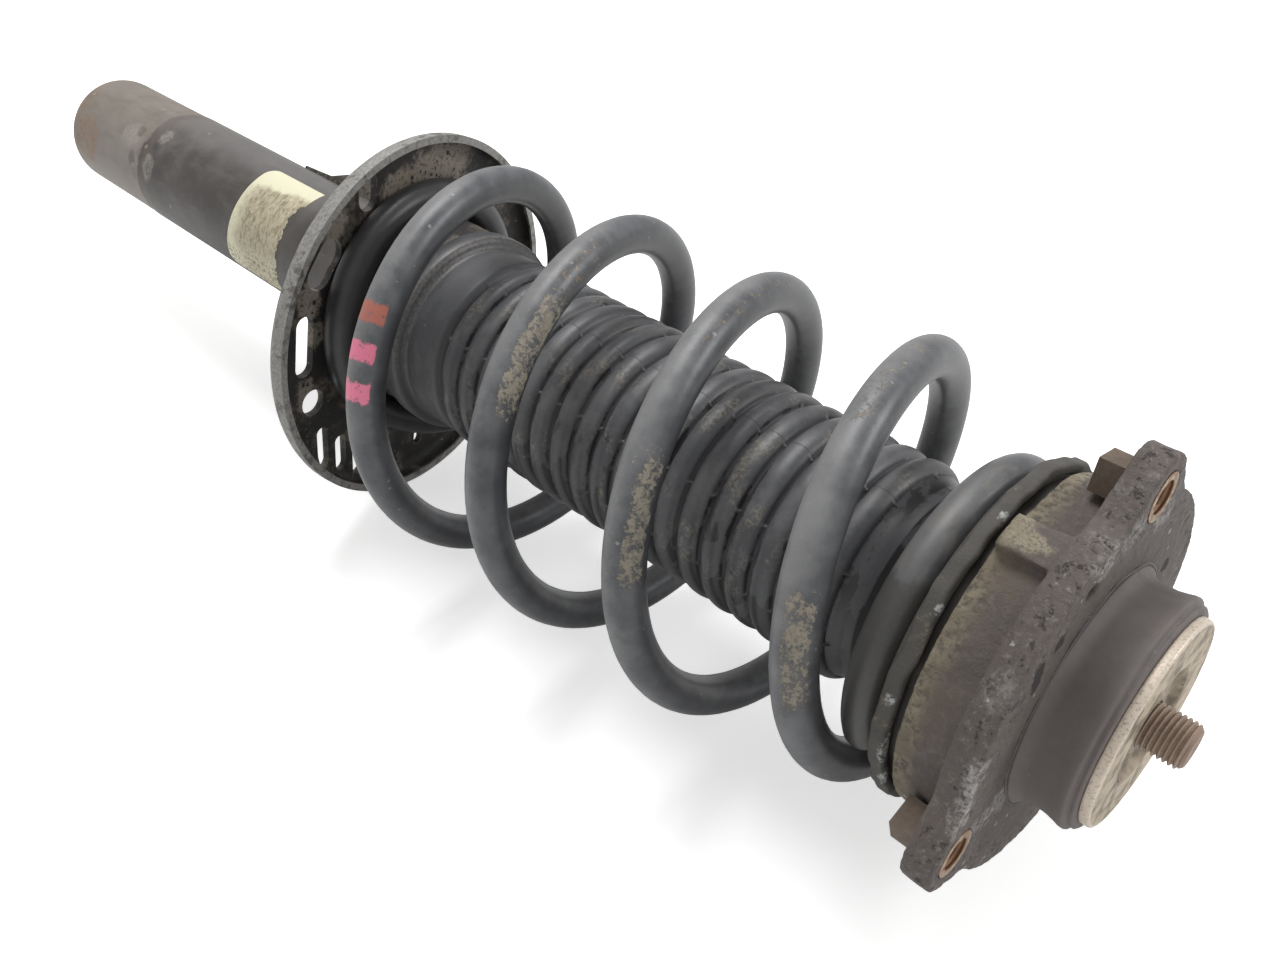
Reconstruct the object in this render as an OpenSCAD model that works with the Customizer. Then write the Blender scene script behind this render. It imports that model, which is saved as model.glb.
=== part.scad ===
// MacPherson front strut with its coil spring, dust boot and top mount.
// +X runs up the strut. x = 0 is where the clamped foot of the tube begins, above its rounded closed end.
// +Z is up as the strut lies on its side.
// An angle round the strut is measured from +Z towards -Y, as rotate([angle, 0, 0]) turns it.

/* [Strut tube] */
// Outer diameter of the bare foot of the tube, which the knuckle clamps
tube_d = 55; // [50:0.5:58]
// Wall of the tube
tube_wall = 2.5; // [2:0.1:3.5]
// Length of the tube above its rounded end
tube_len = 388; // [356:1:406]
// Length of the bare foot below the paint
foot_len = 71; // [60:1:110]
// Rounding of the tube's closed lower end
tube_round = 4; // [3:0.5:6]
// Step up from the ground foot to the painted tube
paint_step = 0.3; // [0.2:0.05:0.4]

/* [Damper] */
// Diameter of the piston rod
rod_d = 22; // [18:0.5:24]
// Bore of the inner cylinder, which the piston runs in
cylinder_bore = 30; // [28:0.5:34]
// Wall of the inner cylinder
cylinder_wall = 1.5; // [1:0.1:2]
// Thickness of the disc that closes the tube's lower end
base_t = 4; // [3:0.5:6]
// Height of the base valve's foot
valve_h = 7.5; // [5:0.5:12]
// Height of the rod guide
guide_h = 12; // [8:0.5:18]
// Height of the rod seal
seal_h = 5; // [3:0.5:8]
// Height of the piston
piston_h = 18; // [14:0.5:24]
// Diameter of the rod's lower end, in the piston
rod_foot_d = 12; // [10:0.5:14]
// Height of the nut under the piston
piston_nut_h = 10; // [7:0.5:12]
// Height of the rebound stop on the rod
stop_h = 9; // [6:0.5:14]
// Rod between the rebound stop and the piston
stop_to_piston = 13; // [8:0.5:30]

/* [Lower spring seat] */
// Outer diameter of the turned-up rim
seat_d = 155; // [152:0.2:166]
// Middle of the rim, from the beginning of the foot
seat_x = 268.7; // [251:0.1:281]
// Tilt of the seat against the tube
seat_tilt = 11.3; // [0:0.1:14]
// Direction of the tilt round the tube
seat_turn = -103.4; // [-180:0.1:180]
// Distance of the rim's middle below the tube's axis, across the tilt
seat_drop = 7.2; // [0:0.1:9]
// Depth of the dish under its rim
seat_depth = 7; // [5:0.5:9]
// Thickness of the seat's sheet
seat_sheet = 3; // [2:0.1:4]
// Straight part of the rim's wall
seat_lip = 3; // [1:0.1:4]
// Outer diameter of the boss that carries the boot
boss_d = 78.4; // [72:0.2:80]
// Top of the boss above the middle of the rim
boss_rise = 33.3; // [24:0.1:40]

/* [Coil spring] */
// Diameter of the wire
wire_d = 13.4; // [10:0.1:14]
// Mean diameter of the first open coil
coil_d = 133.7; // [128:0.1:136]
// How much narrower the last open coil is
coil_taper = 4.6; // [0:0.1:6]
// Widening of the coils halfway up the spring
coil_belly = 2.2; // [0:0.1:4]
// Height of the first open coil above the seat
coil_rise = 43.9; // [36:0.1:52]
// Rise of an open coil in one turn
coil_pitch = 60.95; // [50:0.05:66]
// Turn at which the open coils end
open_turns = 4.2; // [4.1:0.05:4.3]
// Side shift of the open coils at the seat, along Y
low_shift_y = -7.9; // [-14:0.1:0]
// Side shift of the open coils at the seat, along Z
low_shift_z = 1.7; // [-3:0.1:3]
// Bow of the coils' middle line between its ends, along Y
bow_y = 2.2; // [-5:0.1:5]
// Bow of the coils' middle line between its ends, along Z
bow_z = -4.3; // [-5:0.1:5]
// Side shift of the open coils at the top, along Y
high_shift_y = -0.9; // [-3:0.1:9]
// Side shift of the open coils at the top, along Z
high_shift_z = 2.4; // [-5:0.1:3]
// Slope of the first open coil along Y
low_slope_y = -0.096; // [-0.12:0.001:0.12]
// Slope of the first open coil along Z
low_slope_z = 0.074; // [-0.12:0.001:0.12]
// Slope of the last open coil along Y
high_slope_y = -0.064; // [-0.12:0.001:0.12]
// Slope of the last open coil along Z
high_slope_z = -0.044; // [-0.12:0.001:0.12]

/* [Boot and bump stop] */
// Diameter over the boot's ribs
boot_d = 75; // [72:0.5:75.5]
// Clearance between the boot's folds and the cap on the tube
boot_gap = 1.7; // [1.2:0.1:2.4]
// Number of ribs on the boot
rib_count = 19; // [14:1:22]
// Wall of the boot
boot_wall = 1.4; // [1:0.1:2]
// Length of the boot's smooth cup at the seat
cup_len = 19; // [12:0.5:26]
// Length of the bump stop
bump_len = 58; // [40:1:70]
// Diameter of the bump stop
bump_d = 44; // [36:1:50]

/* [Upper spring seat] */
// Diameter over the lip of the spring pad
pad_d = 110; // [107:0.5:114]
// Thickness of the spring pad under the plate
pad_t = 2.8; // [2:0.1:4]
// Thickness of the upper seat's plate
plate_t = 2.5; // [2:0.1:4]
// Length of the upper seat's neck below its plate
neck_len = 19; // [14:0.5:24]

/* [Bearing] */
// Diameter of the ring of balls
ball_circle = 90; // [86:0.5:92]
// Diameter of a ball
ball_d = 6; // [4.5:0.1:6.2]
// Number of balls
ball_count = 24; // [12:1:30]
// Height of the bearing
bearing_h = 9; // [8.5:0.5:12]

/* [Top mount] */
// Diameter of the circle through the threaded inserts
insert_circle = 121; // [118:0.5:124]
// Number of fastening ears
ear_count = 3; // [3:1:3]
// Direction of the first ear round the strut
ear_turn = -12.5; // [-60:0.5:60]
// Radius of an ear's round end
ear_r = 12; // [10:0.5:13]
// Diameter of the mount's flange
flange_d = 120; // [116:1:122]
// Thickness of the flange
flange_t = 9; // [7:0.5:12]
// Skirt from the bearing to the flange
web_h = 10; // [8:0.5:14]
// Diameter of the skirt at its open edge
skirt_d = 107; // [106.6:0.2:109]
// Diameter of the rubber tower
tower_d = 72; // [66:0.5:76]
// Height of the rubber tower above the flange
tower_h = 17.5; // [14:0.5:22]
// Diameter of the stop plate
plate_d = 64; // [58:1:70]
// Diameter of the dished middle of the stop plate
dish_d = 36; // [34:1:40]
// Thickness of the stop plate
stop_plate_t = 3; // [2:0.5:4]
// Nominal diameter of the thread on the rod's upper end
stud_d = 14; // [12:0.5:14]
// Stud above the stop plate
stud_rise = 11; // [7:0.5:16]
// Nominal diameter of the threaded inserts
insert_thread_d = 10; // [8:0.5:10]
// Outer diameter of the threaded inserts
insert_d = 14.4; // [13:0.2:15]

/* [Hidden] */

$fn = 96;
fit = 0.02;          // radial clearance of a pressed or seated fit
running_fit = 0.05;  // radial clearance where one piece turns or slides in another
face_gap = 0.05;     // clearance between the spring's wire and what it bears on

tube_r = tube_d / 2;
tube_bore_r = tube_r - tube_wall;
painted_r = tube_r + paint_step;
rod_r = rod_d / 2;
wire_r = wire_d / 2;
boss_r = boss_d / 2;
seat_r = seat_d / 2;

// The closed lower end and the damper's inner parts
base_x = -1.5;
valve_x = base_x + base_t;
cylinder_x = valve_x + valve_h;
cylinder_r = cylinder_bore / 2;
cylinder_outer_r = cylinder_r + cylinder_wall;
cap_wall = 2;
cap_skirt = 12;
cap_bore_r = painted_r + fit;
cap_r = cap_bore_r + cap_wall;
seal_x = tube_len - seal_h;
guide_x = seal_x - guide_h;
cylinder_lap = 4;
stop_x = guide_x - stop_h;
piston_x = stop_x - stop_to_piston - piston_h;
piston_nut_x = piston_x - piston_nut_h;
piston_nut_flats = rod_foot_d + 7;

// The lower seat's own frame has its local +X square to the rim
tilt_y = -sin(seat_turn);
tilt_z = cos(seat_turn);
bend_r = seat_depth - seat_lip;
flat_r = seat_r - bend_r - seat_sheet;
boss_x = seat_x + boss_rise;
boss_wall = 3;

// The spring turns through 360 degrees for each unit of t, and t = 0 is near the top
turn_lag = -6.2;
t_low_tip = -0.35;
t_low_free = 0.25;
t_open = 1;
t_top_tip = 5.33;
t_flat = open_turns + 0.55;
rings_per_turn = 24;
wire_sides = 8;
low_end_r = boss_r + wire_r + 0.6;
open_x = seat_x + coil_rise;

// The upper seat, from the spring's last coil upwards
top_coil_x = open_x + coil_pitch * (open_turns - t_open) + 18.36;
pad_x = top_coil_x + wire_r + face_gap;
plate_x = pad_x + pad_t;
lower_race_x = plate_x + plate_t;
upper_end_x = lower_race_x + bearing_h;
collar_r = boot_d / 2 - 1;
neck_wall = 2.5;
neck_r = collar_r - boot_wall - fit;
high_end_r = boot_d / 2 + wire_r + 0.4;
plate_r = pad_d / 2 - 4;
neck_x = plate_x - neck_len;

// The boot, from the seat's boss to the neck of the upper seat
boot_x = boss_x;
fold_r = cap_r + boot_gap + boot_wall;
ribs_x = boot_x + 5 + cup_len;
collar_rise = 1.4;
collar_x = neck_x - collar_rise - 0.2;
rib_pitch = (collar_x - ribs_x) / rib_count;

// The bearing's races and its balls
race_r = 5.5;
race_t = 3.2;
ball_x = lower_race_x + bearing_h / 2;
ball_r = ball_d / 2;
ball_ring_r = ball_circle / 2;
cage_t = bearing_h - 2 * race_t - 0.8;

// The top mount
skirt_x = lower_race_x + 3;
skirt_r = skirt_d / 2;
skirt_bore_r = ball_ring_r + race_r + 0.4;
flange_x = upper_end_x + web_h;
flange_top = flange_x + flange_t;
flange_r = flange_d / 2;
insert_ring_r = insert_circle / 2;
tower_r = tower_d / 2;
sleeve_flange_t = 3;
sleeve_x = upper_end_x - sleeve_flange_t;
sleeve_r = 13;
stud_r = stud_d / 2;
washer_t = 3;
dish_depth = 2.5;
tower_top = flange_top + tower_h;
nut_x = flange_top + washer_t;
nut_top = tower_top - dish_depth;
nut_flats = 21;
nut_cavity_r = dish_d / 2 - 0.5;
plate_top = tower_top + stop_plate_t;
stud_end = plate_top + stud_rise;
thread_relief = 1.2;

// A ring or profile of [x, r] points, turned about the strut's axis
module lathe(profile, angle = 360) {
    rotate([0, 90, 0])
        rotate_extrude(angle = angle)
            polygon([for (p = profile) [p[1], p[0]]]);
}

module ring(from_x, to_x, inner_r, outer_r) {
    lathe([[from_x, inner_r], [to_x, inner_r], [to_x, outer_r], [from_x, outer_r]]);
}

module sector(profile, from_angle, to_angle) {
    rotate([from_angle - 180, 0, 0])
        lathe(profile, to_angle - from_angle);
}

module rod_along_x(from_x, to_x, r) {
    translate([from_x, 0, 0])
        rotate([0, 90, 0])
            cylinder(h = to_x - from_x, r = r);
}

module hexagon_along_x(from_x, to_x, flats) {
    translate([from_x, 0, 0])
        rotate([0, 90, 0])
            cylinder(h = to_x - from_x, r = flats / 2 / cos(30), $fn = 6);
}

// Repeats its children round the strut
module around(count, first_angle) {
    for (i = [0:count - 1])
        rotate([first_angle + i * 360 / count, 0, 0])
            children();
}

// A quarter or part arc of [x, r] points about [cx, cr]
function arc(cx, cr, r, from, to, steps = 8) =
    [for (i = [0:steps]) [cx + r * cos(from + (to - from) * i / steps), cr + r * sin(from + (to - from) * i / steps)]];

function smooth(s) = let (c = min(1, max(0, s))) c * c * (3 - 2 * c);
function mix(a, b, s) = a + (b - a) * s;

// x of the lower seat's flat at [y, z], level with its upper face
function seat_flat_x(y, z) =
    seat_x - (seat_depth + (y * tilt_y + z * tilt_z) * sin(seat_tilt)) / cos(seat_tilt);

module strut_tube() {
    color("#3a3838")
        lathe(concat(
            arc(0, tube_r - tube_round, tube_round, 180, 90),
            [[foot_len, tube_r], [foot_len, painted_r], [tube_len, painted_r], [tube_len, tube_bore_r]],
            [[base_x, tube_bore_r], [base_x, tube_bore_r - 1.5], [-tube_round, tube_bore_r - 1.5]]
        ));
}

module tube_base() {
    color("#5b5550")
        rod_along_x(base_x, base_x + base_t, tube_bore_r - running_fit);
}

module base_valve() {
    passage_ring_r = cylinder_r * 0.55;
    color("silver")
        difference() {
            union() {
                rod_along_x(valve_x, cylinder_x, cylinder_outer_r);
                rod_along_x(cylinder_x, cylinder_x + 8, cylinder_r - running_fit);
            }
            around(6, 0)
                translate([0, 0, passage_ring_r])
                    rod_along_x(valve_x + 2, cylinder_x + 9, 2);
            around(3, 0)
                translate([valve_x - 1, -3, 4])
                    cube([4, 6, cylinder_outer_r + 1]);
        }
}

module inner_cylinder() {
    color("lightgray")
        ring(cylinder_x, guide_x + cylinder_lap, cylinder_r, cylinder_outer_r);
}

module rod_guide() {
    color("gray")
        lathe([
            [guide_x, cylinder_outer_r + fit], [guide_x + cylinder_lap, cylinder_outer_r + fit],
            [guide_x + cylinder_lap, rod_r + running_fit], [seal_x, rod_r + running_fit],
            [seal_x, tube_bore_r - fit], [guide_x, tube_bore_r - fit]
        ]);
}

module rod_seal() {
    color("black")
        lathe([
            [seal_x, rod_r + running_fit], [tube_len, rod_r + running_fit],
            [tube_len, tube_bore_r - fit], [seal_x, tube_bore_r - fit]
        ]);
}

module tube_top_cap() {
    color("dimgray")
        lathe([
            [tube_len - cap_skirt, cap_bore_r], [tube_len, cap_bore_r], [tube_len, rod_r + 2],
            [tube_len + cap_wall, rod_r + 2], [tube_len + cap_wall, cap_bore_r + 0.5],
            [tube_len + cap_wall - 1.5, cap_r], [tube_len - cap_skirt, cap_r]
        ]);
}

// Places its children in the lower seat's own frame
module on_seat() {
    translate([seat_x, 0, 0])
        rotate([seat_turn, 0, 0])
            translate([0, seat_drop, 0])
                rotate([0, -seat_tilt, 0])
                    children();
}

// A slot through the seat's flat: its middle at [y, z], its length along the given angle
module seat_slot(y, z, length, width, angle = 0) {
    run = length - width;
    translate([-seat_depth - seat_sheet - 3, y, z])
        rotate([angle, 0, 0])
            rotate([0, 90, 0])
                linear_extrude(seat_depth + seat_sheet)
                    union() {
                        square([width, run], center = true);
                        translate([0, run / 2])
                            circle(d = width);
                        translate([0, -run / 2])
                            circle(d = width);
                    }
}

module seat_holes() {
    seat_slot(-32.2, -50.6, 21, 11, -34);
    seat_slot(-0.8, -59.6, 25, 8.5);
    seat_slot(24.3, -54.3, 11.02, 11);
    seat_slot(-57.2, -29.6, 15, 9);
    seat_slot(58.8, 10.4, 12, 5);
    for (i = [0:2])
        seat_slot(46.8 + 6 * i, -48.1 + 10.2 * i, 19 - 2 * i, 5.5, 6);
}

module lower_spring_seat() {
    dish_inner_r = boss_r - boss_wall / 2;
    color("#2c2a29")
        difference() {
            union() {
                difference() {
                    on_seat()
                        difference() {
                            lathe(concat(
                                [[-seat_depth, 0]],
                                arc(-seat_lip, flat_r, bend_r, 180, 90),
                                [[0, flat_r + bend_r], [0, seat_r]],
                                arc(-seat_lip, flat_r, bend_r + seat_sheet, 90, 180),
                                [[-seat_depth - seat_sheet, 0]]
                            ));
                            seat_holes();
                        }
                    rod_along_x(seat_x - seat_r, boss_x, dish_inner_r);
                }
                // the boss reaches down through the tilted sheet and closes on the tube
                lathe([
                    [boss_x - boss_wall, tube_r], [boss_x, tube_r], [boss_x, boss_r - 2],
                    [boss_x - 2, boss_r], [seat_x - 22, boss_r], [seat_x - 22, boss_r - boss_wall],
                    [boss_x - boss_wall, boss_r - boss_wall]
                ]);
            }
            rod_along_x(0, tube_len, painted_r + fit);
            // the boss ends in the plane of the sheet's lower face
            on_seat()
                rod_along_x(-seat_depth - seat_sheet - 60, -seat_depth - seat_sheet, seat_r);
        }
}

module hose_bracket() {
    sheet = 3;
    foot_x = seat_x - 110;
    reach_r = boss_r + 8;
    color("#2c2a29")
        difference() {
            rotate([-40, 0, 0])
                translate([0, sheet / 2, 0])
                    rotate([90, 0, 0])
                        linear_extrude(sheet)
                            polygon([
                                [foot_x, 0], [foot_x, tube_r + 1.5], [foot_x + 20, tube_r + 2.5],
                                [foot_x + 32, tube_r + 7], [foot_x + 50, reach_r], [seat_x, reach_r], [seat_x, 0]
                            ]);
            rod_along_x(0, tube_len, painted_r + fit);
            on_seat()
                rod_along_x(-seat_depth - seat_sheet - fit, 60, 2 * seat_r);
        }
}

module label() {
    inner_r = painted_r + running_fit;
    color("#d8d2b0")
        sector([[156, inner_r], [199, inner_r], [199, inner_r + 0.2], [156, inner_r + 0.2]], 0, 120);
}

// A measure of the open coils at turn t: it runs from low to high, and bows out between them
function along_coils(t, low, bow, high) =
    let (share = min(1, max(0, (t - t_open) / (open_turns - t_open))))
    mix(low, high, share) + 4 * bow * share * (1 - share);

// Radius of the coils about their own centre, at turn t
function coil_r(t) =
    let (open_r = along_coils(t, coil_d / 2, coil_belly / 2, (coil_d - coil_taper) / 2))
    t < t_open + 1 ? mix(low_end_r, open_r, smooth((t - 0.4) / 0.7))
    : mix(open_r, high_end_r, smooth((t - open_turns + 0.1) / 0.6));

// How far the coils' centre has moved from the strut's axis to the leaning one, at turn t
function lean(t) = smooth((t - 0.4) / 0.7) - smooth((t - open_turns + 0.1) / 0.6);

// x of the wire's centre at turn t, given the wire's place [y, z] across the strut
function coil_x(t, y, z) =
    let (
        on_flat = seat_flat_x(y, z) + (wire_r + face_gap) / cos(seat_tilt),
        open_coil = open_x + coil_pitch * (t - t_open),
        rise = (t - t_low_free) / (t_open - t_low_free),
        start_x = seat_x + 8.9,
        climb = start_x + (open_x - start_x) * smooth(rise)
            + coil_pitch * (t_open - t_low_free) * (pow(rise, 3) - pow(rise, 2)),
        last = (t - open_turns) / (t_flat - open_turns),
        last_x = open_x + coil_pitch * (open_turns - t_open),
        settle = last_x + (top_coil_x - last_x) * smooth(last)
            + coil_pitch * (t_flat - open_turns) * (pow(last, 3) - 2 * pow(last, 2) + last)
    )
    t < t_low_free ? on_flat
    : t < t_open ? mix(on_flat, climb, smooth((t - t_low_free) / 0.3))
    : t < open_turns ? open_coil
    : t < t_flat ? settle
    : top_coil_x;

function coil_centre(t) =
    let (
        a = 360 * t + turn_lag,
        out_y = -coil_r(t) * sin(a),
        out_z = coil_r(t) * cos(a),
        y = along_coils(t, low_shift_y, bow_y, high_shift_y) * lean(t) + out_y,
        z = along_coils(t, low_shift_z, bow_z, high_shift_z) * lean(t) + out_z,
        slope_y = along_coils(t, low_slope_y, 0, high_slope_y),
        slope_z = along_coils(t, low_slope_z, 0, high_slope_z)
    )
    [coil_x(t, y, z) + lean(t) * (slope_y * out_y + slope_z * out_z), y, z];

function unit(v) = v / norm(v);

function coil_ring(t) =
    let (
        c = coil_centre(t),
        forward = unit(coil_centre(t + 0.004) - coil_centre(t - 0.004)),
        a = 360 * t + turn_lag,
        out = [0, -sin(a), cos(a)],
        across = unit(out - (out * forward) * forward),
        up = cross(forward, across)
    )
    [for (k = [0:wire_sides - 1])
        let (b = 360 * k / wire_sides)
        c + wire_r * (cos(b) * across + sin(b) * up)];

coil_steps = ceil((t_top_tip - t_low_tip) * rings_per_turn);
coil_ts = [for (i = [0:coil_steps]) mix(t_low_tip, t_top_tip, i / coil_steps)];

module coil_spring() {
    last = coil_steps * wire_sides;
    color("#4a4d52")
        polyhedron(
            points = [for (t = coil_ts) each coil_ring(t)],
            faces = [
                for (i = [0:coil_steps - 1], k = [0:wire_sides - 1])
                    let (
                        a = i * wire_sides + k,
                        b = i * wire_sides + (k + 1) % wire_sides
                    )
                    each [[a, a + wire_sides, b], [b, a + wire_sides, b + wire_sides]],
                for (k = [1:wire_sides - 2]) [0, k, k + 1],
                for (k = [1:wire_sides - 2]) [last, last + k + 1, last + k]
            ]
        );
}

// The least gap between turns of the wire, from the points of its centre line
coil_line = [for (t = coil_ts) coil_centre(t)];
turn_gap = min([
    for (i = [0:coil_steps], j = [i + round(rings_per_turn / 2):1:coil_steps]) norm(coil_line[i] - coil_line[j])
]) - wire_d;
echo(least_gap_between_turns_mm = turn_gap);

// One fold of the boot as [x, r] points: down the flank, round the crest
function rib_profile(shift) = [
    for (i = [0:rib_count - 1])
        let (x = ribs_x + i * rib_pitch, crest = boot_d / 2 + shift, root = fold_r + shift)
        each [[x, root], [x + 0.16 * rib_pitch, mix(root, crest, 0.62)], [x + 0.32 * rib_pitch, crest - 0.35],
              [x + 0.5 * rib_pitch, crest], [x + 0.68 * rib_pitch, crest - 0.35],
              [x + 0.84 * rib_pitch, mix(root, crest, 0.62)]]
];

function reversed(list) = [for (i = [len(list) - 1:-1:0]) list[i]];

module dust_boot() {
    cup_r = boot_d / 2 - 1;
    inner = [
        [boot_x - 6, boss_r + running_fit], [boot_x + fit, boss_r + running_fit], [boot_x + fit, boss_r - 6],
        [boot_x + 4, cup_r - boot_wall], [ribs_x - 2, cup_r - boot_wall]
    ];
    outer = [
        [boot_x - 6, boss_r + boot_wall], [boot_x + 2, boss_r + boot_wall], [boot_x + 5, cup_r], [ribs_x - 2, cup_r]
    ];
    color("#2b2d31")
        lathe(concat(
            outer,
            rib_profile(0),
            [[collar_x, fold_r], [collar_x + collar_rise, collar_r], [plate_x - 3, collar_r]],
            [[plate_x - 3, neck_r + fit], [collar_x + collar_rise, neck_r + fit],
             [collar_x, fold_r - boot_wall]],
            reversed(rib_profile(-boot_wall)),
            reversed(inner)
        ));
}

module bump_stop() {
    waist_count = 4;
    hub_r = rod_r + fit;
    from_x = sleeve_x - bump_len;
    pitch = bump_len / waist_count;
    color("#c9b27a")
        lathe(concat(
            [[from_x, hub_r]],
            [for (i = [0:waist_count - 1])
                each [[from_x + i * pitch, bump_d / 2 - 7 + i], [from_x + (i + 0.3) * pitch, bump_d / 2 - 3 + i],
                      [from_x + (i + 0.7) * pitch, bump_d / 2 - 3 + i]]],
            [[sleeve_x, bump_d / 2 - 4], [sleeve_x, hub_r]]
        ));
}

module upper_spring_seat() {
    color("#3a3838")
        lathe([
            [neck_x, neck_r - neck_wall], [lower_race_x, neck_r - neck_wall], [lower_race_x, plate_r],
            [plate_x, plate_r], [plate_x, neck_r], [neck_x, neck_r]
        ]);
}

module spring_pad() {
    lip_x = lower_race_x + 1;
    color("#4b4843")
        lathe([
            [pad_x, collar_r + 0.6], [pad_x, plate_r + 1.5], [plate_x - 0.5, pad_d / 2], [lip_x, pad_d / 2],
            [lip_x, plate_r + fit], [plate_x, plate_r + fit], [plate_x, collar_r + 0.6]
        ]);
}

module race_groove(r) {
    lathe([for (i = [0:47]) [ball_x + r * cos(i * 7.5), ball_ring_r + r * sin(i * 7.5)]]);
}

module bearing_lower_race() {
    color("silver")
        difference() {
            ring(lower_race_x, lower_race_x + race_t, ball_ring_r - race_r, ball_ring_r + race_r);
            race_groove(ball_r + running_fit);
        }
}

module bearing_upper_race() {
    color("silver")
        difference() {
            ring(upper_end_x - race_t, upper_end_x, ball_ring_r - race_r, ball_ring_r + race_r);
            race_groove(ball_r + running_fit);
        }
}

module bearing_cage() {
    color("#8a7a55")
        difference() {
            ring(ball_x - cage_t / 2, ball_x + cage_t / 2, ball_ring_r - 4.8, ball_ring_r + 4.8);
            around(ball_count, 0)
                translate([0, 0, ball_ring_r])
                    rod_along_x(ball_x - cage_t, ball_x + cage_t, ball_r + running_fit);
        }
}

module bearing_balls() {
    color("white")
        around(ball_count, 0)
            translate([ball_x, 0, ball_ring_r])
                sphere(ball_r);
}

module piston() {
    groove_r = cylinder_r - 1;
    mid_x = piston_x + piston_h / 2;
    color("gray")
        difference() {
            lathe([
                [piston_x, rod_foot_d / 2 + fit], [piston_x + piston_h, rod_foot_d / 2 + fit],
                [piston_x + piston_h, cylinder_r - 0.2], [mid_x + 5, cylinder_r - 0.2], [mid_x + 5, groove_r],
                [mid_x - 5, groove_r], [mid_x - 5, cylinder_r - 0.2], [piston_x, cylinder_r - 0.2]
            ]);
            around(6, 0)
                translate([0, 0, (rod_foot_d / 2 + cylinder_r) / 2])
                    rod_along_x(piston_x - 1, piston_x + piston_h + 1, 1.5);
        }
}

module piston_ring() {
    mid_x = piston_x + piston_h / 2;
    color("#20201e")
        ring(mid_x - 5 + fit, mid_x + 5 - fit, cylinder_r - 1 + fit, cylinder_r - running_fit);
}

module piston_nut() {
    color("silver")
        difference() {
            hexagon_along_x(piston_nut_x, piston_x, piston_nut_flats);
            rod_along_x(piston_nut_x - 1, piston_x + 1, rod_foot_d / 2 + fit);
        }
}

module rebound_stop() {
    color("#3b3b38")
        ring(stop_x, guide_x, rod_r + fit, cylinder_r - 0.5);
}

module piston_rod() {
    color("lightgray")
        lathe([
            [piston_nut_x - 2, 0], [piston_nut_x - 2, rod_foot_d / 2 - 1], [piston_nut_x - 1, rod_foot_d / 2],
            [piston_x + piston_h, rod_foot_d / 2], [piston_x + piston_h, rod_r], [sleeve_x, rod_r],
            [sleeve_x, stud_r], [plate_top - thread_relief, stud_r], [plate_top - thread_relief, stud_r - 1],
            [plate_top, stud_r - 1], [plate_top, stud_r], [stud_end - 1.4, stud_r], [stud_end, stud_r - 1.4],
            [stud_end, 0]
        ]);
}

// Outline of one ear about the strut's axis: its flanks run just inside the tangent of its round end
module ear_outline() {
    root_r = flange_r - 8;
    inset = 0.3;
    lean_angle = acos((root_r - ear_r) / insert_ring_r);
    flank = [cos(lean_angle), sin(lean_angle)];
    root = root_r * flank;
    tip = [insert_ring_r, 0] + (ear_r - inset) * flank;
    translate([insert_ring_r, 0])
        circle(ear_r);
    polygon([root, tip, [tip[0], -tip[1]], [root[0], -root[1]]]);
}

module flange_outline() {
    union() {
        circle(flange_r);
        for (i = [0:ear_count - 1])
            rotate(i * 360 / ear_count)
                ear_outline();
    }
}

module insert_bores(r, from_x, to_x) {
    around(ear_count, ear_turn)
        translate([0, 0, insert_ring_r])
            rod_along_x(from_x, to_x, r);
}

module mount_housing() {
    lug_r = skirt_r + 5.5;
    panel_r = skirt_bore_r + 1;
    slot_r = 50;
    color("#6a625c")
        difference() {
            union() {
                difference() {
                    // skirt over the bearing, and the web that carries the rubber
                    lathe([
                        [skirt_x, skirt_bore_r], [upper_end_x, skirt_bore_r], [upper_end_x, tower_r - 3],
                        [flange_x + 0.5, tower_r - 3], [flange_x + 0.5, skirt_r + 1.5], [skirt_x, skirt_r]
                    ]);
                    // flat recess between the first ear and the lug
                    rotate([3, 0, 0])
                        translate([skirt_x - 1, -20, panel_r])
                            cube([web_h + upper_end_x - skirt_x + 1.2, 40, 10]);
                }
                rotate([ear_turn, 0, 0])
                    translate([flange_x, 0, 0])
                        rotate([0, 90, 0])
                            rotate(180)
                                linear_extrude(flange_t)
                                    flange_outline();
                // cast lug on the skirt
                sector([[skirt_x + 0.5, skirt_r - 1], [flange_x + 1, skirt_r - 1], [flange_x + 1, lug_r],
                        [skirt_x + 0.5, lug_r - 0.8]], 14, 25);
            }
            rod_along_x(upper_end_x - 1, flange_top + 1, tower_r);
            insert_bores(insert_d / 2 + fit, flange_x - 1, flange_top + 1);
            // cored slot beside the first ear
            rotate([ear_turn + 33, 0, 0])
                translate([0, 0, slot_r])
                    rod_along_x(flange_top - 5, flange_top + 1, 2.6);
        }
}

module mount_rubber() {
    waist_r = tower_r - 1;
    color("#3b3634")
        lathe([
            [upper_end_x, sleeve_r + fit], [flange_top, sleeve_r + fit], [flange_top, nut_cavity_r],
            [tower_top, nut_cavity_r], [tower_top, tower_r - 1.6], [tower_top - 1, tower_r - 0.6],
            [tower_top - 3.5, tower_r], [flange_top + 7, waist_r], [flange_top + 3, waist_r],
            [flange_top, tower_r - fit], [upper_end_x, tower_r - fit]
        ]);
}

module mount_sleeve() {
    color("silver")
        lathe([
            [sleeve_x, stud_r + fit], [flange_top, stud_r + fit], [flange_top, sleeve_r],
            [upper_end_x, sleeve_r], [upper_end_x, bump_d / 2], [sleeve_x, bump_d / 2]
        ]);
}

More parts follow.
